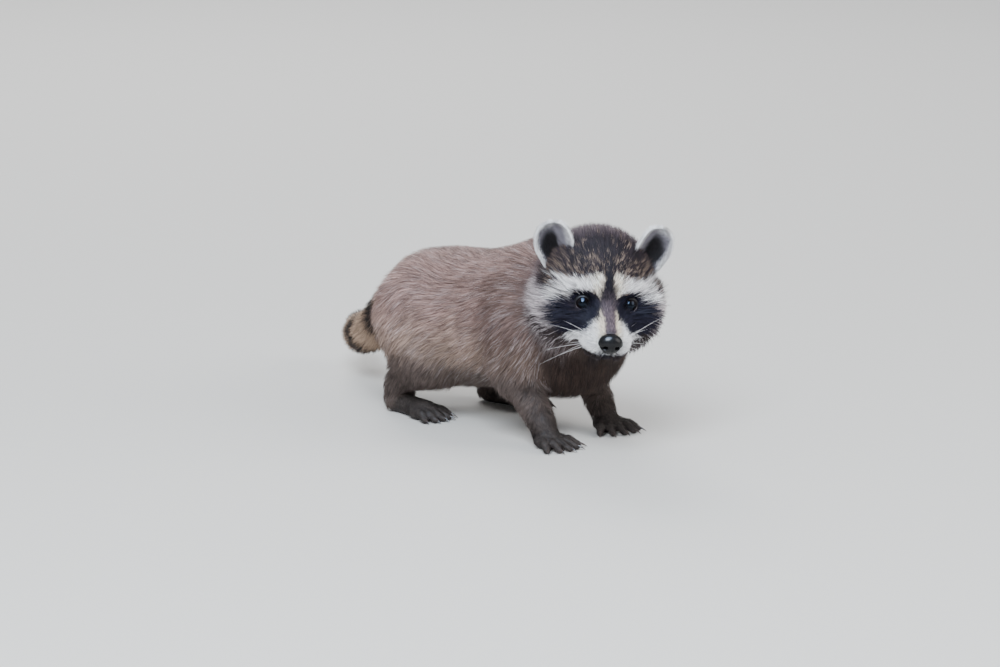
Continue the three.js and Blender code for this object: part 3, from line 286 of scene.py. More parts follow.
def front_leg(shoulder, elbow, wrist, palm):
    """A front leg's forms from its joints."""
    return [
        rod("thigh", 16, shoulder, elbow, 21, 14),
        rod("limb", 8, elbow, wrist, 13, 8.5),
        rod("paw", 5, wrist, palm, 8.5, 7),
        ball("paw", 4, (palm[0], palm[1], 6), (12, 12, 7.5)),
    ]


def hind_leg(hip, knee, hock, sole):
    """A hind leg's forms from its joints."""
    return [
        ball("thigh", 16, (hip[0] * 1.12, hip[1] - 8, hip[2] - 10), (20, 40, 34)),
        rod("thigh", 16, hip, knee, 27, 17),
        rod("limb", 10, knee, hock, 14, 9),
        rod("limb", 5, hock, (hock[0], hock[1] + 3, 10), 9, 8),
        rod("paw", 5, (hock[0], hock[1] + 2, 7.5), sole, 8.5, 7.5),
        ball("paw", 4, (sole[0], sole[1], 6), (12, 13, 7.5)),
    ]


TOE_FAN = (-46, -21, 0, 20, 42)  # degrees
TOE_REACH = (0.72, 0.95, 1, 0.94, 0.74)  # of the longest toe
TOE_ROOT_HEIGHT, KNUCKLE_HEIGHT = 7.5, 6.6
Toe = namedtuple("Toe", "root knuckle tip ahead radius")


def toes_of(centre, turn, radius, joint, fan, spread):
    """Five toes that fan out from a paw: each has a raised knuckle, and a tip on the floor."""
    side = (math.cos(math.radians(turn)), math.sin(math.radians(turn)))
    toes = []
    for i, (angle, reach) in enumerate(zip(TOE_FAN, TOE_REACH)):
        heading = math.radians(angle * fan + turn)
        ahead = np.array([math.sin(heading), -math.cos(heading), 0])
        across = (i - 2) * spread
        root = np.array([centre[0] + across * side[0], centre[1] + across * side[1] - 3, TOE_ROOT_HEIGHT])
        knuckle = root + ahead * joint * reach
        tip = knuckle + ahead * joint * reach
        knuckle[2], tip[2] = KNUCKLE_HEIGHT, radius - 0.1
        toes.append(Toe(root, knuckle, tip, ahead, radius))
    return toes


FRONT_TOES = [toe for leg in FRONT for toe in toes_of(leg[3], leg[4], 2.6, 10, 0.8, 4.9)]
HIND_TOES = [toe for leg in HIND for toe in toes_of(leg[3], leg[4], 2.8, 9, 0.5, 5.0)]
TOES = FRONT_TOES + HIND_TOES

TAIL_POINTS = np.array(
    [(0, 100, 98), (2, 132, 86), (7, 164, 62), (16, 196, 43), (31, 226, 35), (52, 252, 34)], float
)


def between(t, low, high, a, b):
    """From a at low to b at high."""
    return (high - t) / (high - low) * a + (t - low) / (high - low) * b


def smooth_line(points, shares):
    """A smooth line through points, read at shares of its steps."""
    spans = len(points) - 1
    p = np.vstack([2 * points[0] - points[1], points, 2 * points[-1] - points[-2]])
    knots = np.concatenate([[0], np.cumsum(np.sqrt(np.linalg.norm(np.diff(p, axis=0), axis=1)))])
    out = []
    for share in np.atleast_1d(shares):
        i = min(int(share * spans), spans - 1)
        k = knots[i : i + 4]
        t = k[1] + (share * spans - i) * (k[2] - k[1])
        a = [between(t, k[j], k[j + 1], p[i + j], p[i + j + 1]) for j in range(3)]
        b = [between(t, k[j], k[j + 2], a[j], a[j + 1]) for j in range(2)]
        out.append(between(t, k[1], k[2], b[0], b[1]))
    return np.array(out)


TAIL_ROOT, TAIL_MIDDLE, TAIL_END = 15, 8.5, 5  # radii of the flesh
TAIL_NARROWS = 0.25  # share of its length at which the root has narrowed
TAIL_STEPS = 12


def tail_radius(t):
    """Radius of the tail's flesh at a share of its length."""
    if t < TAIL_NARROWS:
        return mix(TAIL_ROOT, TAIL_MIDDLE, math.sin(t / TAIL_NARROWS * math.pi / 2))
    return mix(TAIL_MIDDLE, TAIL_END, (t - TAIL_NARROWS) / (1 - TAIL_NARROWS))


tail_line = smooth_line(TAIL_POINTS, np.linspace(0, 1, TAIL_STEPS + 1))
tail_radii = [tail_radius(i / TAIL_STEPS) for i in range(TAIL_STEPS + 1)]
BODY_FORMS = TRUNK + [form for leg in FRONT for form in front_leg(*leg[:4])]
BODY_FORMS += [form for leg in HIND for form in hind_leg(*leg[:4])]
BODY_FORMS += [
    rod("tail", 4 if i else 20, tail_line[i], tail_line[i + 1], tail_radii[i], tail_radii[i + 1])
    for i in range(TAIL_STEPS)
]
BODY_FORMS += [
    rod("paw", 1.6, a, b, toe.radius + 0.5, toe.radius)
    for toe in TOES
    for a, b in ((toe.root, toe.knuckle), (toe.knuckle, toe.tip))
]

LIP_LINE = [(0, 33.5, -25.5), (7, 31.5, -27.6), (13.5, 22, -28.6), (16, 11, -27.2), (15, 2, -25)]
LIP_RADIUS = 2


def head_ball(kind, blend, at, radii):
    """An ellipsoid written in the head's frame."""
    return ball(kind, blend, from_head(at), radii, HEAD)


def head_rod(kind, blend, start, end, r0, r1):
    """A rod written in the head's frame."""
    return rod(kind, blend, from_head(start), from_head(end), r0, r1)


def head_forms():
    """Skull, cheeks, forehead, bridge, muzzle, jaw and lips."""
    forms = [head_ball("crown", 1, (0, -40, 6), (35, 38, 30))]
    forms.append(head_ball("neck", 14, (0, -30, -16), (28, 32, 18)))
    forms += [head_ball("cheek", 14, (s * 24, -24, -12), (18, 24, 20)) for s in (1, -1)]
    forms.append(head_ball("brow", 8, (0, -19, 8), (26, 21, 17)))
    forms.append(head_rod("face", 6, (0, -4, -3), (0, 27, -12), 10.5, 8))
    for s in (1, -1):
        forms.append(head_rod("face", 8, (s * 15, -10, -14), (s * 9, 12, -18), 10, 9))
        forms.append(head_ball("face", 6, (s * 8.5, 19, -20), (9.5, 14, 8.5)))
    forms.append(head_rod("face", 5, (0, -10, -25), (0, 20, -28.5), 12, 5.5))
    for s in (1, -1):
        lip = [(s * x, y, z) for x, y, z in LIP_LINE]
        forms += [head_rod("face", 2.2, a, b, LIP_RADIUS, LIP_RADIUS) for a, b in zip(lip, lip[1:])]
    return forms


HEAD_FORMS = head_forms()
HEAD_BLEND = 20  # between head and neck


def distance(form, x, y, z):
    """Signed distance to one form's surface, for coordinates that broadcast together."""
    dx, dy, dz = x - form.at[0], y - form.at[1], z - form.at[2]
    if form.radii is not None:
        if form.axes is not None:
            dx, dy, dz = (a[0] * dx + a[1] * dy + a[2] * dz for a in form.axes)
        rx, ry, rz = form.radii
        k0 = np.sqrt((dx / rx) ** 2 + (dy / ry) ** 2 + (dz / rz) ** 2)
        k1 = np.sqrt((dx / rx**2) ** 2 + (dy / ry**2) ** 2 + (dz / rz**2) ** 2)
        return k0 * (k0 - 1) / np.maximum(k1, 1e-6)
    bx, by, bz = form.end - form.at
    t = np.clip((dx * bx + dy * by + dz * bz) / (bx * bx + by * by + bz * bz), 0, 1)
    gap = np.sqrt((dx - bx * t) ** 2 + (dy - by * t) ** 2 + (dz - bz * t) ** 2)
    return gap - (form.r0 + (form.r1 - form.r0) * t)


def joined(skin, d, blend):
    """Smooth union of two distances, and the second one's share in it."""
    h = np.clip(0.5 + 0.5 * (skin - d) / blend, 0, 1)
    return skin + (d - skin) * h - blend * h * (1 - h), h


def measure(p):
    """Distance from the skin at points p, and the share of each kind of coat there."""
    x, y, z = np.asarray(p, np.float32).T
    found = []
    for forms in (BODY_FORMS, HEAD_FORMS):
        skin, shares = np.full(len(x), 1e4, np.float32), np.zeros((len(x), len(KINDS)), np.float32)
        for form in forms:
            skin, h = joined(skin, distance(form, x, y, z), form.blend)
            shares *= (1 - h)[:, None]
            shares[:, KINDS.index(form.kind)] += h
        found.append((skin, shares))
    (body, body_shares), (head, head_shares) = found
    skin, h = joined(body, head, HEAD_BLEND)
    return skin, mix(body_shares, head_shares, h)


FAR_OFF = 60.0  # distance that stands for any place the forms don't reach


def on_grid(forms, axes, reach):
    """The forms' smooth union on a grid, right to within reach of the surface."""
    skin = np.full([len(a) for a in axes], FAR_OFF, np.float32)
    for form in forms:
        ends = np.array([form.at, form.at if form.end is None else form.end])
        room = (max(form.radii) if form.radii is not None else max(form.r0, form.r1)) + form.blend + reach
        cut = tuple(
            slice(*np.searchsorted(axis, (ends[:, i].min() - room, ends[:, i].max() + room)))
            for i, axis in enumerate(axes)
        )
        if any(s.start >= s.stop for s in cut):
            continue
        x, y, z = axes[0][cut[0], None, None], axes[1][None, cut[1], None], axes[2][None, None, cut[2]]
        skin[cut], _ = joined(skin[cut], distance(form, x, y, z), form.blend)
    return skin


BOX_LO, BOX_HI = np.array([-84.0, -216.0, -6.0]), np.array([84.0, 282.0, 196.0])


def whole_grid(cell, room, reach):
    """A grid's axes and the distance from the skin on it."""
    axes = [np.arange(lo, hi, cell, dtype=np.float32) for lo, hi in zip(BOX_LO - room, BOX_HI + room)]
    body, head = on_grid(BODY_FORMS, axes, reach), on_grid(HEAD_FORMS, axes, reach)
    return axes, joined(body, head, HEAD_BLEND)[0]


class Relief:
    """The distance from the skin and its slope, read from a coarse grid."""

    def __init__(self, cell=3.0, room=30.0):
        axes, values = whole_grid(cell, room, room + 4)
        self.cell, self.lo = cell, np.array([a[0] for a in axes])
        self.values = np.stack([values, *np.gradient(values, cell)], axis=-1)

    def __call__(self, p):
        q = (p - self.lo) / self.cell
        top = np.array(self.values.shape[:3]) - 2
        i = np.clip(q.astype(int), 0, top)
        t = np.clip(q - i, 0, 1)
        out = 0
        for corner in range(8):
            bits = np.array([corner & 1, corner >> 1 & 1, corner >> 2])
            weight = np.prod(np.where(bits, t, 1 - t), axis=1)
            j = i + bits
            out = out + self.values[j[:, 0], j[:, 1], j[:, 2]] * weight[:, None]
        return out[:, 0], unit(out[:, 1:])


def seen_from(array, corner):
    """For each cell of a grid, the value at one of its corners."""
    return array[tuple(slice(c, size - 1 + c) for c, size in zip(corner, array.shape))]


def net(values, lo, cell):
    """Surface nets: vertices and triangles of the grid's zero surface."""
    inside = values < 0
    corners = [(a, b, c) for a in (0, 1) for b in (0, 1) for c in (0, 1)]
    count = sum(seen_from(inside, c).astype(np.int8) for c in corners)
    cells = np.argwhere((count > 0) & (count < 8))
    number = np.full(count.shape, -1)
    number[tuple(cells.T)] = np.arange(len(cells))
    at = {c: values[tuple((cells + c).T)] for c in corners}
    total, hits = np.zeros((len(cells), 3)), np.zeros(len(cells))
    for a in corners:
        for axis in range(3):
            if a[axis]:
                continue
            b = tuple(1 if i == axis else v for i, v in enumerate(a))
            cross = (at[a] < 0) != (at[b] < 0)
            t = np.where(cross, at[a] / np.where(cross, at[a] - at[b], 1), 0)
            point = np.tile(np.array(a, float), (len(cells), 1))
            point[:, axis] = t
            total += point * cross[:, None]
            hits += cross
    points = lo + (cells + total / hits[:, None]) * cell
    quads = []
    for axis in range(3):
        u, v = (axis + 1) % 3, (axis + 2) % 3
        edge = np.argwhere(np.diff(inside, axis=axis))
        beside, ends = edge[:, [u, v]], np.array(values.shape)[[u, v]] - 1
        edge = edge[((beside > 0) & (beside < ends)).all(1)]
        du, dv = np.eye(3, dtype=int)[[u, v]]
        ring = np.stack([number[tuple((edge - s).T)] for s in (du + dv, dv, 0 * du, du)], axis=1)
        flip = ~inside[tuple(edge.T)]
        ring[flip] = ring[flip][:, ::-1]
        quads.append(ring)
    quads = np.vstack(quads)
    return points, halves(quads[(quads >= 0).all(1)])


# ---------------------------------------------------------------- the face's openings
EYE_RADIUS = 7.6
NOSE_AT, NOSE_RADII = np.array([0, 35.0, -15.2]), np.array([9.9, 7.6, 8.5])
MOUTH_HEIGHTS = (-24.6, -29.0, -27.0)  # at its corner, half way and under the nose
MOUTH_BACK, MOUTH_LENGTH = 5, 32


def eye_at(s):
    return np.array([s * 17.8, -3.4, 0.5])


def eye_axes(s):
    """The way an eye looks, and the ways across and up its opening."""
    look = unit((s * 0.2, 0.9, 0.27))
    across = unit(np.cross((0, 0, 1), look))
    return look, across, np.cross(look, across)


def mouth_height(y):
    """Height of the mouth's line in the head's frame, from its corner to the nose."""
    t = np.clip((y + MOUTH_BACK) / MOUTH_LENGTH, 0, 1)
    corner, middle, front = MOUTH_HEIGHTS
    return (1 - t) ** 2 * corner + 2 * t * (1 - t) * middle + t * t * front


FACE_REACH = 60  # round the head's middle, everything that is opened
SOCKET_HALF = (6.0, 5.4)  # of the opening between the lids, across and up
LIP_GROOVE, LIP_SOFTNESS = 1.7, 1.1
SKIN_FLOOR = 0.2


def carve(skin, axes):
    """Opens the eye sockets and the mouth's line, and flattens the soles."""
    grid = np.stack(np.meshgrid(*axes, indexing="ij"), axis=-1)
    near = (np.abs(skin) < 6) & (np.linalg.norm(grid - HEAD_AT, axis=-1) < FACE_REACH)
    q = to_head(grid[near])
    values = skin[near]
    for s in (1, -1):
        look, across, up = eye_axes(s)
        rel = q - eye_at(s)
        globe = np.linalg.norm(rel, axis=1) - EYE_RADIUS - 0.2
        u = [rel @ across / SOCKET_HALF[0], (rel @ look - 8) / 10, rel @ up / SOCKET_HALF[1]]
        u = np.stack(u, axis=1)
        opening = (np.linalg.norm(u, axis=1) - 1) * 5
        values = -joined(-values, np.minimum(globe, opening), 0.8)[0]
    off = q[:, 2] - mouth_height(q[:, 1])
    lips = ease(1, 6, q[:, 1]) * np.exp(-((off / LIP_SOFTNESS) ** 2)) * (np.abs(q[:, 0]) < 24)
    skin[near] = values + LIP_GROOVE * lips
    return np.maximum(skin, SKIN_FLOOR - axes[2][None, None, :])


# ---------------------------------------------------------------- markings
# Outlines on one side of the face, as distance from the middle and height, seen from straight ahead.
MASK_OUTLINE = [
    (5.8, 6.0), (9.5, 10.5), (16, 12.2), (23, 10.8), (29, 8.2), (38, 5.0), (45, 0), (47.5, -9), (46, -17),
    (40, -22), (31, -24.5), (22, -19.5), (16.8, -12), (11.5, -6.5), (7.5, -2),
]
BROW_OUTLINE = [
    (4.2, 7), (4.3, 15), (4.0, 24), (8, 25.5), (14, 22.6), (20, 19.8), (26, 18.6), (36, 15), (43, 10),
    (47, 4), (48, -2), (46, -1), (38, 5.6), (29, 9), (23, 11.8), (16, 13), (10, 12), (6, 8),
]


def depth_inside(outline, x, z):
    """How far points lie inside an outline, below zero outside it."""
    p = np.array(outline, float)
    nearest, inside = np.full(len(x), 1e9), np.zeros(len(x), bool)
    for (ax, az), (bx, bz) in zip(p, np.roll(p, -1, axis=0)):
        ex, ez = bx - ax, bz - az
        t = np.clip(((x - ax) * ex + (z - az) * ez) / (ex * ex + ez * ez), 0, 1)
        nearest = np.minimum(nearest, np.hypot(x - ax - t * ex, z - az - t * ez))
        if ez:
            inside ^= ((az > z) != (bz > z)) & (x < (z - az) / ez * ex + ax)
    return np.where(inside, nearest, -nearest)


def nearest_on_tail(p):
    """Share of the tail's length nearest to each point, and the tail's direction there."""
    shares = np.linspace(0, 1, 81)
    line = smooth_line(TAIL_POINTS, shares)
    ways = unit(np.gradient(line, axis=0))
    gaps = np.linalg.norm(p[:, None, :] - line[None], axis=2)
    k = gaps.argmin(1)
    return shares[k], ways[k]


TAIL_FROM, TAIL_BANDS = 0.12, 6  # share of the tail's length at which its rings start, and their number


def markings(p, shares, random, chief=None):
    """Colours of root, middle and tip for tufts whose visible part is at p, alike within most clumps."""
    head, body = bpy.context.scene.raccoon_head, bpy.context.scene.raccoon_body
    share, n, q = partial(share_of, shares), len(p), to_head(p)
    x, y, z = np.abs(q[:, 0]), q[:, 1], q[:, 2]
    chief = np.arange(n) if chief is None else chief
    rough = drift(p, 5, 3) * 0.8 + random.normal(size=n) * 0.55
    chance = np.where(random.random(n) < 0.6, random.random(n)[chief], random.random(n))

    # the trunk: brown above, tan on the flanks, dark-tipped, greyer on the neck, with painted shade low on
    # the front below the head, dark under the throat
    low = ease(100, 66, p[:, 2] + 6 * drift(p, 40, 5))
    mid = mix(flat_colour(body.back, n), body.flank, low)
    root = flat_colour(body.under, n)
    spine = ease(16, 4, np.abs(p[:, 0] - 2)) * ease(100, 112, p[:, 2])
    mid = mix(mid, body.tips, 0.28 * spine)
    belly = np.clip(share("belly") + 0.7 * ease(66, 44, p[:, 2]), 0, 1)
    mid = mix(mid, body.belly, belly)
    neck = np.clip(share("neck") + share("cheek"), 0, 1) * (0.45 + 0.55 * ease(124, 100, p[:, 2]))
    mid = mix(mid, body.neck, neck)
    # painted shade: low on the front of the body, below the head, the fur is darkened towards the neck's
    # colour
    shoulder = 0.75 * ease(-8, -58, p[:, 1] + 5 * rough) * ease(144, 122, p[:, 2]) * share("body", "thigh")
    mid = mix(mid, body.neck, shoulder)
    chest = ease(-80, -104, p[:, 1] + 0.3 * (p[:, 2] - 60))
    chest = chest * ease(112, 84, p[:, 2] + 0.45 * np.abs(p[:, 0] + 18))
    mid = mix(mid, body.chest, chest)
    root = mix(root, mid * 0.55, np.clip(belly + chest, 0, 1))
    tip = mid * 1.12
    dark_tip = chance < 0.5 + 0.12 * neck - 0.15 * belly
    tip[dark_tip] = mix(tip, body.tips, 0.9)[dark_tip]
    mid[dark_tip] = mix(mid, body.tips, 0.2)[dark_tip]
    pale_tip = (chance > 0.88 - 0.06 * neck) & (chest < 0.5)
    tip[pale_tip] = mix(tip, head.ruff, 0.5)[pale_tip]
    mid[pale_tip] = mix(mid, head.ruff, 0.25 + 0.2 * neck[:, None])[pale_tip]

    # legs and paws
    leg = np.clip(share("limb") + share("thigh") * ease(84, 42, p[:, 2] + 4 * drift(p, 18, 6)), 0, 1)
    for layer, tone in ((root, 0.7), (mid, 1), (tip, 0.95)):
        layer[:] = mix(layer, np.array(body.leg) * tone, leg)
        layer[:] = mix(layer, np.array(body.paw) * tone, share("paw"))

    # the tail's rings
    tail = share("tail")
    if tail.max() > 0.01:
        t, _ = nearest_on_tail(p)
        band = (t - TAIL_FROM) / (1 - TAIL_FROM) * TAIL_BANDS + 0.09 * rough
        dark = np.clip(0.5 + 2.5 * -np.cos((band - 0.5) * math.pi), 0, 1) * (band > 0.4)
        dark = np.maximum(dark, ease(TAIL_BANDS - 0.9, TAIL_BANDS - 0.6, band))
        ring = mix(flat_colour(body.ring, n), body.dark_ring, dark)
        root, mid = mix(root, ring * 0.6, tail), mix(mid, ring, tail)
        tip = mix(tip, mix(ring * 1.05, body.dark_ring, (chance < 0.3) * 0.6), tail)

    # the head
    on_head = np.clip(share("face", "brow", "crown", "cheek") * 1.25, 0, 1) * ease(-92, -66, y)
    if on_head.max() > 0.01:
        layers = head_markings(head, body, x, y, z, rough, chance)
        root, mid, tip = (mix(a, b, on_head) for a, b in zip((root, mid, tip), layers))
    vary = 0.99 + 0.17 * random.normal(size=n)[chief] + 0.12 * random.normal(size=n) + 0.07 * drift(p, 22, 9)
    vary = np.clip(vary, 0.5, 1.45)[:, None]
    return [np.clip(layer * vary, 0.002, 0.97) for layer in (root, mid, tip)]


def head_markings(head, body, x, y, z, rough, chance):
    """The head's colours by distance from its middle, way forward and height, in millimetres."""
    n = len(x)
    above = -depth_inside(BROW_OUTLINE, x, z)
    # the crown: dark with flecks of tan in a belt above the brow, lighter behind
    crown = mix(flat_colour(head.crown, n), head.nape, ease(-34, -58, y + 3 * rough))
    fleck = chance < 0.05 + 0.28 * ease(15, 4, above) * ease(6, 14, z)
    mid = np.where(fleck[:, None], flat_colour(head.fleck, n), crown)
    tip = crown * np.where(fleck, 0.75, 0.7)[:, None]
    root = crown * 0.5

    def lay(colour, share, at_tip=1.0):
        """Lays a colour over the tufts' middle and tip."""
        nonlocal mid, tip
        mid, tip = mix(mid, colour, share), mix(tip, colour, share * at_tip)

    # the ruff behind the mask, streaked, and the dark cheek below it
    side = ease(26, 38, x + 2 * rough) * ease(7, -3, z + 2.5 * rough) * ease(-62, -38, y + 2 * rough)
    lay(mix(flat_colour(head.ruff, n), head.cheek, (chance < 0.4) * 0.55), side, 0.9)
    under = ease(-18, -24, z + 1.5 * rough) * ease(8, 16, x)
    pale_streaks = 0.1 + 0.42 * ease(-12, -34, y)
    lay(mix(flat_colour(head.cheek, n), head.ruff, (chance < pale_streaks) * 0.9), under)
    # the chin below the mouth's line is darkened: towards the back with the throat's own dark fur, further
    # forward with painted shade under the muzzle
    jaw = ease(-25.5, -30, z + 0.8 * rough) * ease(26, 16, x)
    lay(mix(flat_colour(body.chest, n), head.cheek, ease(2, 20, y) * 0.9), jaw)
    # the white band over the eye, warmer towards the middle
    front = ease(-38, -26, y)
    brow = ease(-1.3, 1.0, 1.1 * rough - above) * front
    white = mix(flat_colour(head.brow, n), head.cream, ease(18, 6, x + rough) * 0.8)
    white[chance < 0.14 + 0.2 * ease(22, 40, x)] *= 0.4
    lay(white, brow, 0.96)
    # the stripe widens from the crown down to the bridge between the eyes
    # the stripe has no lower end, so under the nose its dark colour runs on down the middle as painted shade
    half = np.interp(z, (-14, -6, 0, 5, 9, 20, 30, 36), (4.8, 6.0, 7.0, 6.2, 4.4, 3.0, 2.0, 0.5))
    stripe = ease(1.0, -1.0, x - half + 0.9 * rough) * (y > -34) * ease(38, 24, z + 2 * rough)
    lay(head.stripe, stripe)
    # the muzzle: white sides, cream beside the bridge, and painted shade under the nose, where the white
    # stops at the lip
    snout = ease(6, 14, y + 0.8 * rough) * ease(2, -5, z - 0.25 * (30 - y))
    streaky = np.minimum(30 - x, z + 31) + 2.2 * rough
    whiskered = ease(-2.5, 1.5, streaky) * ease(-22, -8, y) * ease(-12, -18, z)
    # the white's lower edge rises towards the nose, leaving the painted shade under it
    lip = np.interp(y, (0, 14, 28, 36), (-28.5, -27.2, -25.0, -24.0))
    pale = np.clip(snout + whiskered, 0, 1) * ease(-1.4, 0.8, z - lip + 0.5 * rough)
    lay(mix(flat_colour(head.muzzle, n), head.cream, ease(13, 6, x) * ease(-23, -10, z)), pale)
    mask = ease(-1.1, 0.9, depth_inside(MASK_OUTLINE, x, z) + 0.9 * rough) * front * ease(26, 18, y)
    lay(head.mask, mask)
    # the bridge runs from dark between the eyes to speckled grey-brown, and darkens again at the nose
    width = np.interp(y, (2, 10, 20, 28, 36), (7.4, 6.0, 4.6, 4.2, 6.2))
    bridge = ease(1.4, -1.2, x - width + 1.1 * rough) * ease(0, 5, y) * ease(-18, -11, z)
    lit = np.interp(y, (3, 7, 12, 20, 29, 33, 36), (0.0, 0.4, 0.7, 0.85, 0.9, 0.6, 0.2))
    lit = lit * np.where(chance < 0.34, 0.4, 1.0)
    lay(mix(flat_colour(head.stripe, n) * 1.2, head.bridge, np.clip(lit, 0, 1)), bridge)
    lay(body.skin, np.exp(-(((z - mouth_height(y)) / 0.9) ** 2)) * ease(2, 6, y) * 0.85)
    root = mix(root, mid * 0.6, np.clip(brow + side + pale + mask + bridge + stripe + under + jaw, 0, 1))
    return root, mid, tip


# ---------------------------------------------------------------- meshes
def frame_offset():
    """From the animal's own frame to the row frame, by where the frame's eyes are, in millimetres."""
    corners = [np.array(c) / MM for name in ("eye_left", "eye_right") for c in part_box(name)]
    return np.mean(corners, axis=0) - from_head((0, eye_at(1)[1], eye_at(1)[2]))


OFFSET = frame_offset()


def mesh_object(name, points, faces, material, colours=None, maps=None, smooth=True):
    """A mesh of triangles from points in millimetres, with colours for points and maps for corners."""
    mesh = bpy.data.meshes.new(name)
    mesh.vertices.add(len(points))
    mesh.vertices.foreach_set("co", ((points + OFFSET) * MM).astype(np.float32).ravel())
    mesh.loops.add(faces.size)
    mesh.loops.foreach_set("vertex_index", faces.astype(np.int32).ravel())
    mesh.polygons.add(len(faces))
    mesh.polygons.foreach_set("loop_start", np.arange(0, faces.size, faces.shape[1], dtype=np.int32))
    mesh.polygons.foreach_set("use_smooth", np.full(len(faces), smooth))
    mesh.update(calc_edges=True)
    for map_name, values in (maps or {}).items():
        mesh.uv_layers.new(name=map_name).data.foreach_set("uv", values.astype(np.float32).ravel())
    if colours is not None:
        tint = mesh.color_attributes.new("tint", "FLOAT_COLOR", "POINT")
        opaque = np.hstack([colours, np.ones((len(colours), 1))])
        tint.data.foreach_set("color", opaque.astype(np.float32).ravel())
    mesh.materials.append(material)
    piece = bpy.data.objects.new(name, mesh)
    bpy.context.scene.collection.objects.link(piece)
    return piece


def normals_of(points, faces):
    """Normals of the points, and areas of the triangles."""
    a, b, c = (points[faces[:, i]] for i in range(3))
    across = np.cross(b - a, c - a)
    corners = faces.ravel()
    total = [np.bincount(corners, np.repeat(across[:, k], 3), len(points)) for k in range(3)]
    return unit(np.stack(total, axis=1)), np.linalg.norm(across, axis=1) / 2


def fronts_out(points, faces):
    """A closed mesh's triangles with their fronts outwards."""
    a, b, c = (points[faces[:, i]] for i in range(3))
    return faces[:, ::-1] if np.einsum("ij,ij->i", np.cross(b, c), a).sum() < 0 else faces


EAR_AT = (31.8, -41, 16.5)  # the base, out from the middle, ahead and up
EAR_LENGTH = 39  # from base to tip
EAR_END = 0.995  # share of its length at which the mesh ends in a short edge
EAR_HALF = 14.6  # half of its greatest width
EAR_ROUNDS = 0.45  # share of its length at which it starts to round off
EAR_FULL = 1.01  # share at which the curve would close
EAR_CURVE = 2.3  # how full the tip's curve is
EAR_DEPTH = 12  # of the cup
EAR_THICK = 3.6


def ear_half(u):
    """Half of an ear's width at a share of its length."""
    past = np.clip((u - EAR_ROUNDS) / (EAR_FULL - EAR_ROUNDS), 0, 1)
    round_off = np.sqrt(np.maximum(0, 1 - past**EAR_CURVE))
    return EAR_HALF * np.where(u < EAR_ROUNDS, 0.8 + 0.2 * u / EAR_ROUNDS, round_off)


def ear_crest(across):
    """The share of an ear's length at which its edge is this far from its middle line."""
    return EAR_ROUNDS + (EAR_FULL - EAR_ROUNDS) * (1 - (across / EAR_HALF) ** 2) ** (1 / EAR_CURVE)


def ear_hollow(u, v):
    """1 in the dark middle of an ear's cup, 0 towards its edge."""
    return ease(1.0, 0.5, np.hypot((v - 0.2) / 0.85, (u - 0.36) / 0.5))


def ear_axes(s):
    """The ways from an ear's base to its tip, out of its cup, and across it away from the head."""
    axis = unit((s * math.sin(0.36), -0.06, math.cos(0.36)))
    facing = np.array([s * math.sin(0.24), math.cos(0.24), 0.18])
    facing = unit(facing - axis * (facing @ axis))
    return axis, facing, s * unit(np.cross(facing, axis))


def ear_shell(s, steps=26):
    """An ear's front and back in the head's frame: u runs from base to tip, v from inner to outer edge."""
    axis, facing, outward = ear_axes(s)
    u, v = np.meshgrid(np.linspace(0, EAR_END, steps + 1), np.linspace(-1, 1, steps + 1), indexing="ij")
    along, across = EAR_LENGTH * u - 3, v * ear_half(u) + 5 * u * (1 - u)
    cup = EAR_DEPTH * (1 - v * v) * (1 - 0.55 * u**2 - 0.36 * u**9)
    rim = np.minimum(1, np.maximum(np.abs(v), u))
    thick = EAR_THICK * (1.15 - 0.75 * rim**4)
    base = np.array([s * EAR_AT[0], EAR_AT[1], EAR_AT[2]])
    flat = base + along[..., None] * axis + across[..., None] * outward
    layers = [flat + (6.6 - cup - back * thick - 3 * u * u)[..., None] * facing for back in (0, 1)]
    return layers, u, v


def ear_mesh(s):
    """Both faces of an ear's cup, closed round the edge, with each point's u, v and face."""
    (front, back), u, v = ear_shell(s)
    down, across = u.shape
    size = down * across
    points = from_head(np.vstack([front.reshape(-1, 3), back.reshape(-1, 3)]))
    number = np.arange(size).reshape(down, across)
    quads = [number[:-1, :-1], number[:-1, 1:], number[1:, 1:], number[1:, :-1]]
    quads = np.stack(quads, axis=-1).reshape(-1, 4)
    rim = np.concatenate([number[:, 0], number[-1, 1:], number[::-1, -1][1:], number[0, ::-1][1:]])
    edge = np.stack([rim[:-1], rim[1:], rim[1:] + size, rim[:-1] + size], axis=1)
    faces = halves(np.vstack([quads, quads[:, ::-1] + size, edge[:, ::-1]]))
    side = np.repeat([0, 1], size)
    return points, fronts_out(points, faces), np.tile(u.ravel(), 2), np.tile(v.ravel(), 2), side


SKIN_CELL = 1.5
surface = {}


def skin_surface():
    """The skin's points, triangles, normals, areas and kinds of coat, worked out once."""
    if not surface:
        axes, values = whole_grid(SKIN_CELL, 6.0, 5.0)
        points, faces = net(carve(values, axes), np.array([a[0] for a in axes]), SKIN_CELL)
        normals, areas = normals_of(points, faces)
        surface.update(points=points, faces=faces, normals=normals, areas=areas)
        surface["shares"] = measure(points)[1]
        surface["relief"] = Relief()
    return surface


# ---------------------------------------------------------------- an unwrap of the skin's own shape
def wrap(p, origin, axis, up, low, high, box):
    """Round a part's own line: the turn runs along u, and the way along the line along v."""
    side = unit(np.cross(axis, up))
    rise = np.cross(side, axis)
    rel = p - np.asarray(origin, float)
    turn = np.arctan2(rel @ side, rel @ rise) / (2 * math.pi) + 0.5
    along = np.clip((rel @ axis - low) / (high - low), 0, 1)
    x0, y0, x1, y1 = box
    return np.stack([x0 + (x1 - x0) * turn, y0 + (y1 - y0) * along], axis=1)


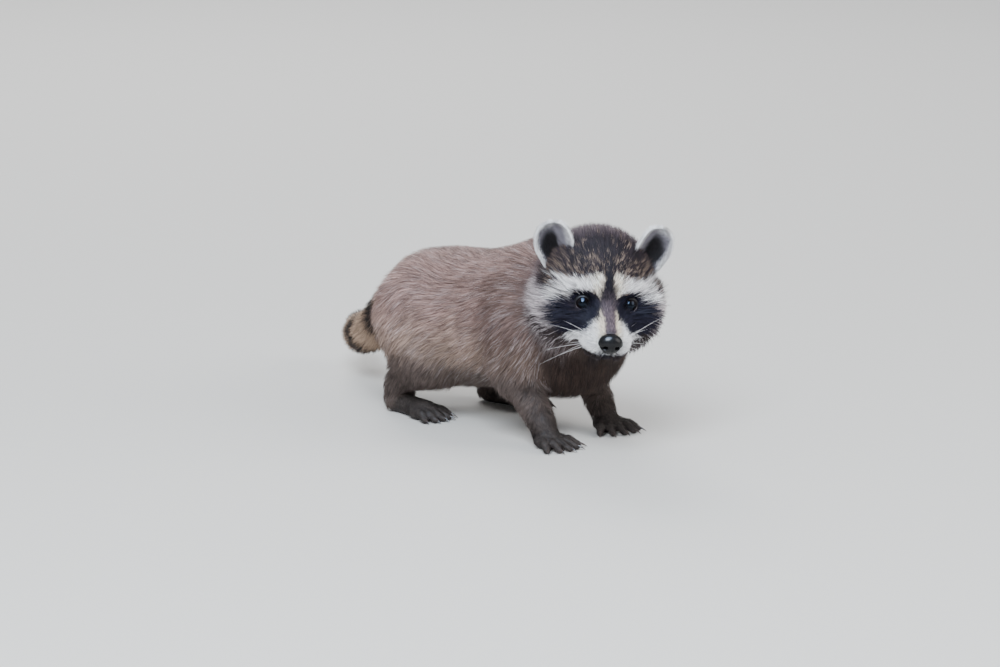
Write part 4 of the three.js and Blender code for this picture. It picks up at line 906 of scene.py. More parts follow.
# left, lower, right and upper edges of each part's place on that unwrap
TRUNK_BOX, HEAD_BOX, TAIL_BOX = (0.01, 0.01, 0.99, 0.44), (0.01, 0.46, 0.49, 0.99), (0.51, 0.46, 0.74, 0.72)
LEG_BOXES = [(0.51 + 0.12 * i, 0.74, 0.51 + 0.12 * i + 0.11, 0.99) for i in range(4)]
PATCH = 0.003  # size of one tuft
UP, BACK = np.array([0, 0, 1.0]), np.array([0, 1.0, 0])


def unwrap(p, shares):
    """Where on the unwrapped skin each point of it lies."""
    share = partial(share_of, shares)
    uv = wrap(p, (0, 0, 84), BACK, UP, -140, 120, TRUNK_BOX)
    head = wrap(p, from_head((0, -40, 0)), -HEAD[1], HEAD[2], -80, 46, HEAD_BOX)
    uv = np.where((share("face", "brow", "crown", "cheek") > 0.5)[:, None], head, uv)
    around = wrap(p, (20, 180, 60), unit((0.2, 0.8, -0.5)), UP, -100, 100, TAIL_BOX)
    around[:, 1] = mix(TAIL_BOX[1], TAIL_BOX[3], nearest_on_tail(p)[0])
    uv = np.where((share("tail") > 0.5)[:, None], around, uv)
    on_leg = share("limb", "paw", "thigh") > 0.5
    for i, (leg, box) in enumerate(zip(FRONT + HIND, LEG_BOXES)):
        mine = on_leg & ((p[:, 0] > 0) == (leg[0][0] > 0)) & ((p[:, 1] < -20) == (i < 2))
        shin = (np.array(leg[1]) + np.array(leg[2])) / 2
        uv = np.where(mine[:, None], wrap(p, (shin[0], shin[1], 0), UP, -BACK, 0, 100, box), uv)
    return uv


# ---------------------------------------------------------------- fur
FLAT = 0.45  # a blade's thickness over its width
# across, up, and how far the normal turns up, at a blade's three corners
BLADE = ((-1, -0.5, 0.4), (0, 1.3, 1), (1, -0.5, 0.4))
BLADE_WIDTHS = (0, 0.35, 1), (0.75, 1.0, 0.25)  # along its length, the last one just below its tip
ABOVE_FLOOR = 0.15


def blade_faces(rings):
    """Triangles of one closed, three-sided blade of so many rings and a tip."""
    faces = [(0, 2, 1)]
    for r in range(rings - 1):
        for k in range(3):
            a, b = 3 * r + k, 3 * r + (k + 1) % 3
            faces += [(a, b, a + 3), (b, b + 3, a + 3)]
    last = 3 * (rings - 1)
    return np.array(faces + [(last + k, last + (k + 1) % 3, 3 * rings) for k in range(3)])


def tufts(name, lines, normals, half_widths, layers, roots_uv, random):
    """One closed, three-sided, tapered blade for each line, coloured from root to tip."""
    n, stations = lines.shape[:2]
    rings = stations - 1
    tip = 3 * rings
    shares = np.linspace(0, 1, stations)
    along = unit(np.gradient(lines, axis=1))
    side = unit(np.cross(along, normals[:, None, :]))
    rise = np.cross(side, along)
    roll = random.normal(size=(n, 1, 1)) * 0.45
    side, rise = side * np.cos(roll) + rise * np.sin(roll), rise * np.cos(roll) - side * np.sin(roll)
    w = half_widths[:, None, None] * np.interp(shares[:rings], *BLADE_WIDTHS)[None, :, None]
    middle, aside, upward = lines[:, :rings], side[:, :rings], rise[:, :rings]
    ring = np.stack([middle + aside * w * a + upward * w * FLAT * b for a, b, _ in BLADE], axis=2)
    points = np.concatenate([ring.reshape(n, tip, 3), lines[:, -1:]], axis=1)
    points[..., 2] = np.maximum(points[..., 2], ABOVE_FLOOR)
    own = np.stack([aside * a + upward * c for a, _, c in BLADE], axis=2)
    own = np.concatenate([own.reshape(n, tip, 3), rise[:, -1:]], axis=1)
    soft = unit(unit(own) * 0.5 + normals[:, None, :] * 0.62)

    low, mid, high = layers
    colour = [mix(low, mid, 2 * t) if t < 0.5 else mix(mid, high, 2 * t - 1) for t in shares]
    colour = np.stack(colour, axis=1)
    colours = np.concatenate([np.repeat(colour[:, :rings], 3, axis=1), colour[:, -1:]], axis=1)

    faces = blade_faces(rings)
    corner = np.array([((v % 3) / 2, v // 3 / rings) if v != tip else (0.5, 1) for v in faces.ravel()])
    all_faces = (faces[None] + np.arange(n)[:, None, None] * (tip + 1)).reshape(-1, 3)
    bake = roots_uv[:, None, :] + PATCH * (corner[None] - 0.5)
    reach = np.linalg.norm(np.diff(lines, axis=1), axis=2).sum(1)
    start = random.uniform(0, 40, (n, 1, 2))
    strand = start + corner[None] * np.stack([2 * half_widths, reach], axis=1)[:, None, :]
    maps = {"OFBake": bake.reshape(-1, 2), "Strand": strand.reshape(-1, 2)}
    points, colours = points.reshape(-1, 3), colours.reshape(-1, 3)
    piece = mesh_object(name, points, all_faces, fur_material(), colours, maps)
    piece.data.normals_split_custom_set_from_vertices(soft.reshape(-1, 3).astype(np.float32))
    return piece


def lie_of(p, normals, shares):
    """The way the coat lies: back from the nose, along the body, down the legs, out along the tail."""
    q = to_head(p)

    def share(*kinds):
        """How much of these kinds there is, as a column."""
        return share_of(shares, *kinds)[:, None]

    ahead = unit(q - np.array([0, 47, -12]))
    ahead = ahead + np.array([0, -0.5, 0.0]) * share("crown")
    ahead = ahead + np.array([0, -0.15, -0.55]) * share("cheek")
    for s in (1, -1):
        away = q - eye_at(s)
        ahead = ahead + 0.9 * unit(away) * np.exp(-(np.linalg.norm(away, axis=1, keepdims=True) - 8) / 5)
    ways = turned(unit(ahead)) * share("face", "brow", "crown", "cheek")
    down = np.array([0, 0, -1.0])
    chest = ease(-84, -108, p[:, 1]) * ease(116, 92, p[:, 2])
    neck = mix(np.array([[0.25, 1, -0.3]]), np.array([[0.1, 0.35, -1.0]]), chest)
    ways = ways + unit(neck) * share("neck")
    back = np.array([0, 1.0, 0]) + down * (0.25 + 0.45 * np.abs(normals[:, :1]))
    ways = ways + unit(mix(back, np.array([[0.1, 0.4, -1.0]]), chest)) * share("body")
    ways = ways + np.array([0, 0.97, -0.2]) * share("belly")
    ways = ways + unit((0, 0.55, -1)) * share("thigh") + unit((0, 0.4, -1)) * share("limb")
    ways = ways + unit((0, -1, -0.25)) * share("paw")
    if share("tail").max() > 0.01:
        ways = ways + nearest_on_tail(p)[1] * share("tail") * 1.2
    return unit(ways)


def sow(kinds, where, density, random):
    """Roots spread evenly over the skin where one of these kinds of coat is the largest."""
    skin = skin_surface()
    faces, points = skin["faces"], skin["points"]
    shares = skin["shares"][faces].mean(1)
    chosen = np.isin(shares.argmax(1), [KINDS.index(k) for k in kinds])
    if where:
        chosen &= where(points[faces].mean(1), unit(skin["normals"][faces].mean(1)))
    rate = skin["areas"] * (shares @ DENSITY) * chosen * density
    total = np.cumsum(rate)
    count = int(total[-1])
    at = np.searchsorted(total, (np.arange(count) + random.random(count)) * total[-1] / max(count, 1))
    at = np.minimum(at, len(faces) - 1)
    a, b = np.sqrt(random.random(count))[:, None], random.random(count)[:, None]
    weights = np.hstack([1 - a, a * (1 - b), a * b])[:, :, None]
    there = [(skin[part][faces[at]] * weights).sum(1) for part in ("points", "normals", "shares")]
    return there[0], unit(there[1]), there[2]


BARE_EYE = (7.2, 6.5, 16)  # half width, half height and depth of the bare place at an eye
BARE_NOSE = 0.7  # round the nose pad
SOLE_HEIGHT = 0.8


def clear_of_openings(p):
    """True where fur may grow: not on the eyeballs, the nose pad or the soles."""
    q = to_head(p)
    clear = p[:, 2] > SOLE_HEIGHT
    for s in (1, -1):
        look, across, up = eye_axes(s)
        rel = q - eye_at(s)
        ahead = rel @ look
        flat = rel - ahead[:, None] * look
        oval = np.hypot(flat @ across / BARE_EYE[0], flat @ up / BARE_EYE[1])
        clear &= (oval > 1) | (ahead < 0) | (np.linalg.norm(rel, axis=1) > BARE_EYE[2])
    narrow = (q - NOSE_AT) / (NOSE_RADII + BARE_NOSE)
    return clear & (np.linalg.norm(narrow, axis=1) > 1)


def clumps(roots, size, random):
    """For each root the number of the tuft that leads its clump."""
    leaders = np.flatnonzero(random.random(len(roots)) < 1 / size)
    tree = KDTree(len(leaders))
    for i, root in enumerate(roots[leaders]):
        tree.insert(root, i)
    tree.balance()
    return leaders[[tree.find(root)[1] for root in roots]]


GUARD_HAIRS = 0.12  # share of the tufts that stand out of the coat, longer and thinner
FLATTEST = 0.35  # least share of a tuft's length that runs along the skin


def comb(roots, normals, shares, chief, random, stations):
    """Lines of the tufts: they rise from the skin, turn over along the lie, and lean to a leader."""
    relief = skin_surface()["relief"]
    sizes = bpy.context.scene.raccoon_coat
    n = len(roots)
    lengths = shares @ np.array([getattr(sizes, k) / MM for k in KINDS]) * random.uniform(0.78, 1.16, n)
    heights = shares @ HEIGHT * random.uniform(0.66, 1.12, n)
    forehead = share_of(shares, "crown", "brow") * ease(-50, -32, to_head(roots)[:, 1])
    lengths *= 1 - 0.36 * forehead
    heights *= 1 - 0.2 * forehead
    guard = random.random(n) < GUARD_HAIRS
    heights[guard] *= 1.5
    lengths[guard] *= 1.12
    # the hackles stand higher along the withers
    withers = ease(104, 128, roots[:, 2]) * ease(40, -30, roots[:, 1]) * ease(-118, -96, roots[:, 1])
    heights *= 1 + 0.12 * withers
    sway = random.normal(size=n) * 0.15 + 0.17 * drift(roots, 30, 21) + 0.13 * drift(roots, 10, 22)
    steps = (stations - 1) * 2
    p, normal = roots - normals * 0.5, normals
    line = [p]
    for k in range(1, steps + 1):
        t = k / steps
        way = lie_of(p, normal, shares)
        way = unit(way - normal * np.einsum("ij,ij->i", way, normal)[:, None])
        way = way * np.cos(sway)[:, None] + np.cross(normal, way) * np.sin(sway)[:, None]
        rise = heights * 1.7 * (1 - t + 0.5 / steps) ** 0.7
        stride = np.sqrt(np.maximum(lengths**2 - rise**2, (FLATTEST * lengths) ** 2)) / steps
        p = p + way * stride[:, None]
        d, normal = relief(p)
        p = p + normal * np.clip(heights * (1 - (1 - t) ** 1.7) - d, -3, 3)[:, None]
        line.append(p)
    lines = np.stack(line, axis=1)[:, ::2]
    pull = np.linspace(0, 1, stations)[None, :, None] ** 1.3 * random.uniform(0.2, 0.6, (n, 1, 1))
    lines = lines + (lines[chief] + 0.2 * (roots - roots[chief])[:, None] - lines) * pull
    return lines, np.where(guard, 0.6, 1.0)


def grow(name, kinds, slot, seed, stations=3, clump=8, pieces=1, where=None):
    """A part of the coat: stations are points along a tuft, and clump is how many tufts lean together."""
    random = np.random.default_rng(seed)
    density = bpy.context.scene.raccoon_coat.density * 1
    roots, normals, shares = sow(kinds, where, density, random)
    keep = clear_of_openings(roots)
    roots, normals, shares = roots[keep], normals[keep], shares[keep]
    chief = clumps(roots, clump, random)
    lines, slim = comb(roots, normals, shares, chief, random, stations)
    layers = markings(lines[:, stations // 2], shares, random, chief)
    widths = shares @ WIDTH * random.uniform(0.75, 1.2, len(roots)) * slim
    widths = widths * 1
    uv = unwrap(roots, shares)
    order = np.argsort(roots[:, 1], kind="stable")
    for i, part in enumerate(np.array_split(order, pieces)):
        title = name if pieces == 1 else f"{name}_{i + 1}"
        own = [array[part] for array in (lines, normals, widths)]
        piece = tufts(title, *own, [a[part] for a in layers], uv[part], random)
        finish_piece(piece, slot)
        print(title, len(part), "tufts", len(piece.data.polygons), "triangles")


# ---------------------------------------------------------------- materials
def add_node(tree, kind, **inputs):
    """A node whose inputs are set to values or linked to sockets. In their names _ stands for a space."""
    node = tree.nodes.new(kind)
    for name, value in inputs.items():
        socket = node.inputs[name.replace("_", " ")]
        if isinstance(value, bpy.types.NodeSocket):
            tree.links.new(value, socket)
        else:
            socket.default_value = value
    return node


def rescaled(tree, value, low, high, to_low, to_high):
    """A value that runs from to_low to to_high while the given one runs from low to high."""
    limits = {"From_Min": low, "From_Max": high, "To_Min": to_low, "To_Max": to_high}
    return add_node(tree, "ShaderNodeMapRange", Value=value, **limits).outputs["Result"]


def multiplied(tree, colour, factor):
    """A colour times a value."""
    node = tree.nodes.new("ShaderNodeVectorMath")
    node.operation = "SCALE"
    tree.links.new(colour, node.inputs[0])
    tree.links.new(factor, node.inputs["Scale"])
    return node.outputs["Vector"]


def streaks_group():
    """Lengthwise streaks of hair: a colour that varies across a tuft, and a height for its bump."""
    group = bpy.data.node_groups.get("hair_streaks")
    if group:
        return group
    group = bpy.data.node_groups.new("hair_streaks", "ShaderNodeTree")
    sockets = group.interface.new_socket
    sockets("Colour", in_out="INPUT", socket_type="NodeSocketColor")
    sockets("Place", in_out="INPUT", socket_type="NodeSocketVector")
    sockets("Contrast", in_out="INPUT", socket_type="NodeSocketFloat")
    sockets("Colour", in_out="OUTPUT", socket_type="NodeSocketColor")
    sockets("Height", in_out="OUTPUT", socket_type="NodeSocketFloat")
    start = group.nodes.new("NodeGroupInput").outputs
    noise = add_node(group, "ShaderNodeTexNoise", Vector=start["Place"], Scale=1.0, Detail=3.0, Roughness=0.6)
    tone = group.nodes.new("ShaderNodeMath")  # 1 + contrast times a noise of -1 to 1
    tone.operation = "MULTIPLY_ADD"
    tone.inputs[2].default_value = 1.0
    group.links.new(rescaled(group, noise.outputs["Fac"], 0.3, 0.7, -1.0, 1.0), tone.inputs[0])
    group.links.new(start["Contrast"], tone.inputs[1])
    colour = multiplied(group, start["Colour"], tone.outputs["Value"])
    add_node(group, "NodeGroupOutput", Colour=colour, Height=noise.outputs["Fac"])
    return group


def new_material(name, **finish):
    """A material with these values on its shader's own sockets, with its node tree and shader."""
    material = bpy.data.materials.new(name)
    material.use_nodes = True
    tree = material.node_tree
    shader = tree.nodes["Principled BSDF"]
    for socket, value in finish.items():
        shader.inputs[socket.replace("_", " ")].default_value = value
    return material, tree, shader


def points_colour(tree):
    """The colour that a mesh carries on its points."""
    tint = tree.nodes.new("ShaderNodeAttribute")
    tint.attribute_name = "tint"
    return tint.outputs["Color"]


def join_shader(tree, shader, colour, height, strength, distance):
    """Joins a colour and the bump of a height to a shader."""
    relief = add_node(tree, "ShaderNodeBump", Strength=strength, Distance=distance, Height=height)
    tree.links.new(colour, shader.inputs["Base Color"])
    tree.links.new(relief.outputs["Normal"], shader.inputs["Normal"])
    return relief


def tinted(name, roughness, coordinate, stretch, contrast, bump, **finish):
    """A material coloured by its points, with streaks laid along a map or through space."""
    material, tree, shader = new_material(name, Roughness=roughness, **finish)
    if coordinate == "Object":
        place = tree.nodes.new("ShaderNodeTexCoord").outputs["Object"]
    else:
        source = tree.nodes.new("ShaderNodeUVMap")
        source.uv_map = coordinate
        place = source.outputs["UV"]
    mapping = add_node(tree, "ShaderNodeMapping", Vector=place, Scale=stretch)
    streaks = tree.nodes.new("ShaderNodeGroup")
    streaks.node_tree = streaks_group()
    streaks.inputs["Contrast"].default_value = contrast
    tree.links.new(points_colour(tree), streaks.inputs["Colour"])
    tree.links.new(mapping.outputs["Vector"], streaks.inputs["Place"])
    join_shader(tree, shader, streaks.outputs["Colour"], streaks.outputs["Height"], bump, 0.1 * MM)
    return material


def fur_material():
    """The one material of the whole coat."""
    found = bpy.data.materials.get("fur")
    return found or tinted("fur", 0.62, "Strand", (7.0, 0.22, 1.0), 0.22, 0.25, Specular_IOR_Level=0.12)


# ---------------------------------------------------------------- the pieces
def finish_piece(piece, slot, *nodes):
    """Ties a piece to the body and hides the nodes that it stands for; its slot is not used."""
    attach(piece, "root")
    if nodes:
        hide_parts(*nodes)


def ball_grid(around, down):
    """Turn and fall of a ball's points from its front pole, with its triangles."""
    turns, falls = np.arange(around) / around * 2 * math.pi, np.linspace(0, math.pi, down + 1)[1:-1]
    turn, fall = np.meshgrid(turns, falls)
    number = np.arange(turn.size).reshape(turn.shape) + 1
    after = np.roll(number, -1, axis=1)
    last = turn.size + 1
    corners = [
        (number[:-1], number[1:], after[1:]),
        (number[:-1], after[1:], after[:-1]),
        (0 * number[:1], number[:1], after[:1]),
        (last + 0 * number[-1:], after[-1:], number[-1:]),
    ]
    faces = np.vstack([np.stack(c, axis=-1).reshape(-1, 3) for c in corners])
    return np.concatenate([[0], turn.ravel(), [0]]), np.concatenate([[0], fall.ravel(), [math.pi]]), faces


def tube(line, radii, sides=6):
    """A closed tapered tube along a line."""
    line = np.asarray(line, float)
    along = unit(np.gradient(line, axis=0))
    helper = np.where(np.abs(along[:, 2:]) < 0.9, [[0, 0, 1.0]], [[1.0, 0, 0]])
    side = unit(np.cross(along, helper))
    rise = np.cross(side, along)
    turns = (np.arange(sides) / sides * 2 * math.pi)[None, :, None]
    round_it = np.cos(turns) * side[:, None] + np.sin(turns) * rise[:, None]
    ring = line[:, None] + np.asarray(radii)[:, None, None] * round_it
    points = np.vstack([line[:1], ring.reshape(-1, 3), line[-1:]])
    faces = []
    count = len(line)
    last = 1 + (count - 1) * sides
    for k in range(sides):
        m = (k + 1) % sides
        faces += [(0, 1 + m, 1 + k), (last + sides, last + k, last + m)]
        for i in range(count - 1):
            a, b = 1 + i * sides, 1 + (i + 1) * sides
            faces += [(a + k, a + m, b + m), (a + k, b + m, b + k)]
    return points, np.array(faces)


def gathered(parts):
    """Several (points, faces) as one."""
    points, faces, start = [], [], 0
    for p, f in parts:
        points.append(p)
        faces.append(f + start)
        start += len(p)
    return np.vstack(points), np.vstack(faces)


class RACCOON_OT_skin(bpy.types.Operator):
    """Builds the one skin of body, head, legs, tail and ears under the coat"""

    bl_idname = "raccoon.skin"
    bl_label = "Skin"

    def execute(self, context):
        skin = skin_surface()
        points, shares = skin["points"], skin["shares"]
        colours = markings(points, shares, np.random.default_rng(1))[1] * 0.62
        body, head = context.scene.raccoon_body, context.scene.raccoon_head
        faces_down = ease(0.5, -0.5, skin["normals"][:, 2] + 0.35)
        sole = faces_down * share_of(shares, "paw") * ease(9, 4, points[:, 2])
        colours = mix(colours, body.skin, sole)
        q = to_head(points)
        for s in (1, -1):
            rim = ease(12.5, 9, np.linalg.norm(q - eye_at(s), axis=1))
            colours = mix(colours, np.array(head.mask) * 0.7, rim)
        parts, tints = [(points, skin["faces"])], [colours]
        for s in (1, -1):
            points, faces, u, v, side = ear_mesh(s)
            parts.append((points, faces))
            edge = ease(0.86, 0.97, np.maximum(np.abs(v), u))
            tone = mix(flat_colour(head.ear, len(u)) * 0.5, np.array(head.ear_rim) * 0.75, edge)
            tints.append(mix(tone, np.array(head.hollow) * 0.6, (side == 0) * ear_hollow(u, v)))
        points, faces = gathered(parts)
        material = tinted("skin", 0.7, "Object", (900, 900, 900), 0.25, 0.5, Specular_IOR_Level=0.25)
        piece = mesh_object("skin", points, faces, material, np.vstack(tints))
        flesh = [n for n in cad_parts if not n.startswith("eye") and n != "nose"]
        finish_piece(piece, "body_fur", *sorted(flesh))
        return {"FINISHED"}


CORNEA_AHEAD, CORNEA_RADIUS, CORNEA_BLEND = 2.75, 5.35, 0.5
# angle out from the opening's edge and distance from the ball's centre, round the lid's section
LID_SECTION = np.array(
    [(0, 7.6), (0.01, 7.85), (0.04, 8.05), (0.1, 8.2), (0.2, 8.25)]
    + [(0.34, 8.1), (0.47, 7.7), (0.4, 7.2), (0.2, 7.3)]
)
LID_STEPS = 96  # round the opening
LID_FOLD = 4  # the section's point that rises in the upper lid
LID_SHEEN = 1  # the section's last point of the lower lid that gets the painted sheen of its moist rim


def eyeball():
    """Ways from an eye's centre as turn and fall, the radius there, triangles and colours."""
    turn, fall, faces = ball_grid(72, 60)
    bulge = np.sqrt(np.maximum(CORNEA_RADIUS**2 - (CORNEA_AHEAD * np.sin(fall)) ** 2, 0))
    bulge = CORNEA_AHEAD * np.cos(fall) + bulge
    radius = -joined(-np.full(len(fall), EYE_RADIUS), -bulge, CORNEA_BLEND)[0] - CORNEA_BLEND / 4
    iris = np.array(srgb(20, 13, 11)) * (1 + 0.5 * np.sin(turn * 23) * np.sin(turn * 7 + 1))[:, None]
    colours = mix(flat_colour(srgb(4, 4, 5), len(fall)), iris, ease(0.42, 0.5, fall))
    return turn, fall, radius, faces, mix(colours, srgb(10, 8, 8), ease(0.68, 0.8, fall))


def lid(s):
    """Both lids of an eye as one ring: points in the head's frame, triangles and colours."""
    sides = len(LID_SECTION)
    turns = np.arange(LID_STEPS) / LID_STEPS * 2 * math.pi
    angle, step = np.meshgrid(turns, np.arange(sides), indexing="ij")
    look, across, up = eye_axes(s)
    # an almond with its corner towards the nose drawn out and down
    corner = np.exp(-(((np.abs(angle - math.pi) - 0.12) / 0.3) ** 2))
    wide = 1 / np.hypot(np.cos(angle) / 0.8, np.sin(angle) / 0.7) + 0.12 * corner
    fold = 0.25 * (np.sin(angle) > 0) * np.sin(angle) * (step == LID_FOLD)
    out = LID_SECTION[step, 1] + fold
    tilt = (wide + LID_SECTION[step, 0])[..., None]
    droop = (np.sin(angle) - 0.05 * np.cos(angle) ** 2)[..., None]
    heading = unit(np.cos(angle)[..., None] * -s * across + droop * up)
    points = eye_at(s) + (np.cos(tilt) * look + np.sin(tilt) * heading) * out[..., None]
    number = np.arange(LID_STEPS * sides).reshape(LID_STEPS, sides)
    b, c = np.roll(number, -1, axis=0), np.roll(number, -1, axis=1)
    faces = halves(np.stack([number, b, np.roll(b, -1, axis=1), c], -1).reshape(-1, 4))
    from_middle = (points - points.mean(1, keepdims=True)).reshape(-1, 3)
    points = points.reshape(-1, 3)
    if (normals_of(points, faces)[0] * from_middle).sum() < 0:
        faces = faces[:, ::-1]
    # painted sheen: the lower lid's moist rim is painted a pale grey that stands for its reflection
    painted_sheen = ease(0.2, -0.7, np.sin(angle)) * (step <= LID_SHEEN) * 0.45
    return points, faces, mix(flat_colour(srgb(18, 15, 17), len(points)), srgb(172, 158, 162), painted_sheen.ravel())


class RACCOON_OT_eyes(bpy.types.Operator):
    """Builds the eyes, each with a bulging cornea, and the dark lids round them"""

    bl_idname = "raccoon.eyes"
    bl_label = "Eyes and lids"

    def execute(self, context):
        turn, fall, radius, faces, colours = eyeball()
        shine = {"IOR": 1.33, "Specular_Tint": (0.5, 0.68, 1.0, 1.0)}
        glass = tinted("eye", 0.04, "Object", (2500, 2500, 2500), 0.2, 0.0, **shine)
        parts, tints = [], []
        for s, name in ((1, "eye_right"), (-1, "eye_left")):
            look, across, up = eye_axes(s)
            around = np.cos(turn)[:, None] * across + np.sin(turn)[:, None] * up
            ways = np.cos(fall)[:, None] * look + np.sin(fall)[:, None] * around
            points = from_head(eye_at(s) + ways * radius[:, None])
            finish_piece(mesh_object(f"{name}_ball", points, faces, glass, colours), "eye", name)
            lid_points, lid_faces, tint = lid(s)
            parts.append((from_head(lid_points), lid_faces))
            tints.append(tint)
        points, faces = gathered(parts)
        moist = tinted("lid_skin", 0.5, "Object", (3000, 3000, 3000), 0.3, 0.4, Specular_IOR_Level=0.3)
        finish_piece(mesh_object("lids", points, faces, moist, np.vstack(tints)), "eye")
        return {"FINISHED"}


NOSE_CELL = 0.42
NOSE_ROOM = ((-12, 12), (24, 46), (-27, -4))  # of the nose in the head's frame
NOSE_SIDE = 7  # how far out a nostril's slit crosses its own height
# middle, radii, softness and slope of each nostril's hole, and of the slit that runs out from it
HOLE = ((4.5, 41.0, -16.0), (1.9, 4.2, 1.55), 1.6, 0)
SLIT = ((7.3, 39.0, -17.2), (2.5, 4.0, 0.62), 0.8, 0.25)


def nose_pad():
    """The pad with its nostrils and the groove down its middle, in the head's frame."""
    axes = [np.arange(lo, hi, NOSE_CELL) for lo, hi in NOSE_ROOM]
    x, y, z = np.meshgrid(*axes, indexing="ij")
    rel_y, rel_z = y - NOSE_AT[1], z - NOSE_AT[2]
    narrow = 1 + 0.036 * np.minimum(rel_z, 0)
    depth = np.where(rel_y > 0, 0.88, 1.2)
    u = np.stack([x / narrow / NOSE_RADII[0], rel_y / depth / NOSE_RADII[1], rel_z / NOSE_RADII[2]])
    pad = (np.sqrt((u**2).sum(0)) - 1) * NOSE_RADII[1]
    for s in (1, -1):
        for (at_x, at_y, at_z), (wide, deep, high), softness, slope in (HOLE, SLIT):
            falls = (np.abs(x) - NOSE_SIDE) * slope
            form = ((x - s * at_x) / wide) ** 2 + ((y - at_y) / deep) ** 2 + ((z - at_z + falls) / high) ** 2
            pad = -joined(-pad, (np.sqrt(form) - 1) * softness, 0.7)[0]
    groove = np.exp(-((x / 0.5) ** 2)) * ease(-14, -17, z) * (y > 36)
    return net(pad + 0.7 * groove, np.array([a[0] for a in axes]), NOSE_CELL)


class RACCOON_OT_nose(bpy.types.Operator):
    """Builds the moist nose pad with its nostrils and the groove down its middle"""

    bl_idname = "raccoon.nose"
    bl_label = "Nose"

    def execute(self, context):
        points, faces = nose_pad()
        gloss = {"Coat_Weight": 1.0, "Coat_IOR": 1.3, "Coat_Roughness": 0.22}
        material, tree, shader = new_material("nose_pad", Roughness=0.55, IOR=1.15, **gloss)
        place = tree.nodes.new("ShaderNodeTexCoord").outputs["Object"]
        pebbles = add_node(tree, "ShaderNodeTexVoronoi", Vector=place, Scale=1500).outputs["Distance"]
        # painted light and shade: the pad's colour is lighter on the pebbles' raised tops and darker in the
        # grooves between them, as the bump makes them
        colour = multiplied(tree, points_colour(tree), rescaled(tree, pebbles, 0.1, 0.6, 1.3, 0.75))
        join_shader(tree, shader, colour, pebbles, 0.5, 0.25 * MM).invert = True
        tone = flat_colour(srgb(9, 8, 11), len(points))
        finish_piece(mesh_object("nose_pad", from_head(points), faces, material, tone), "nose_pad", "nose")
        return {"FINISHED"}


CLAW_LENGTHS = (5.0, 4.5)  # of the front and hind claws
CLAW_ROOT = 2.2  # how far a claw starts inside its toe
CLAW_RISE, CLAW_THICK = 1.1, 1.15
FLOOR_GAP = 0.1


class RACCOON_OT_claws(bpy.types.Operator):
    """Builds the curved claws at the toes' tips"""

    bl_idname = "raccoon.claws"
    bl_label = "Claws"

    def execute(self, context):
        parts = []
        for i, toe in enumerate(TOES):
            size = CLAW_LENGTHS[i >= len(FRONT_TOES)]
            t = np.linspace(0, 1, 9)
            out = toe.radius - CLAW_ROOT + (size + CLAW_ROOT) * t
            drop = CLAW_RISE - (toe.radius * 0.6 + CLAW_RISE) * t**1.8
            line = toe.tip + toe.ahead * out[:, None] + UP * drop[:, None]
            parts.append(tube(line, CLAW_THICK * (1 - t) ** 0.75 + 0.04, 8))
        points, faces = gathered(parts)
        points[:, 2] = np.maximum(points[:, 2], FLOOR_GAP)
        horn = tinted("claw_horn", 0.35, "Object", (1800, 1800, 400), 0.35, 0.3, Coat_Weight=0.2)
        tone = flat_colour(srgb(58, 48, 44), len(points))
        finish_piece(mesh_object("claws", points, faces, horn, tone), "paw")
        return {"FINISHED"}


WHISKERS, BROW_WHISKERS = 17, 4  # on each side


def whisker(start, way, reach, droop, steps, thick):
    """One thin tapered hair that droops towards its tip, from places in the head's frame."""
    t = np.linspace(0, 1, steps)[:, None]
    line = start + (way * reach * t + np.array(droop) * reach * t**2)
    return tube(from_head(line), thick * (1 - t[:, 0]) ** 0.8 + 0.03, 5)


class RACCOON_OT_whiskers(bpy.types.Operator):
    """Builds the long white whiskers of the muzzle and the few over the eyes"""

    bl_idname = "raccoon.whiskers"
    bl_label = "Whiskers"

    def execute(self, context):
        random = np.random.default_rng(5)
        longest = context.scene.raccoon_coat.whisker / MM
        parts = []
        for s in (1, -1):
            for i in range(WHISKERS):
                row, place = i % 3, i / (WHISKERS - 1)
                out, down = 11.5 + 3.5 * random.random(), 16 + 3.2 * row + random.random()
                way = unit((s, -0.35 - 0.75 * place, 0.42 - 0.42 * row + 0.2 * random.normal()))
                reach = longest * (0.45 + 0.55 * random.random())
                limp = 0.6 + 0.6 * random.random()
                start = np.array([s * out, 25 - 15 * place, -down])
                parts.append(whisker(start, way, reach, (0, -0.25 * limp, -0.3 * limp), 12, 0.12))
            for i in range(BROW_WHISKERS):
                start = np.array([s * (13 + 3 * i), 1.5 - i, 11.5 - i])
                way = unit((s * (0.35 + 0.2 * i), 0.5, 0.9))
                reach = longest * (0.35 + 0.2 * random.random())
                parts.append(whisker(start, way, reach, (0, -0.5, -0.1), 10, 0.1))
        points, faces = gathered(parts)
        bristle = tinted("whisker", 0.4, "Object", (600, 600, 600), 0.1, 0.1)
        tone = flat_colour(srgb(240, 238, 240), len(points))
        finish_piece(mesh_object("whiskers", points, faces, bristle, tone), "pale_fur")
        return {"FINISHED"}


class RACCOON_OT_head_coat(bpy.types.Operator):
    """Grows the short fur of the face, the brow and crown, and the long ruff of the cheeks"""

    bl_idname = "raccoon.head_coat"
    bl_label = "Head's coat"

    def execute(self, context):
        grow("face_fur", ["face"], "pale_fur", seed=11, clump=5)
        grow("crown_fur", ["crown", "brow"], "crown_fur", seed=12, clump=7)
        grow("cheek_fur", ["cheek"], "crown_fur", seed=13, stations=4)
        return {"FINISHED"}


EAR_STEPS = 60  # of the grid that the ears' hairs are laid on
EAR_HAIRS, QUICK_EAR_HAIRS = 7600, 2600
CREST_HALF = 8.6  # how far the hairs round the tip reach from its middle line

EarHairs = namedtuple("EarHairs", "u v behind rim inner reach rise lean")


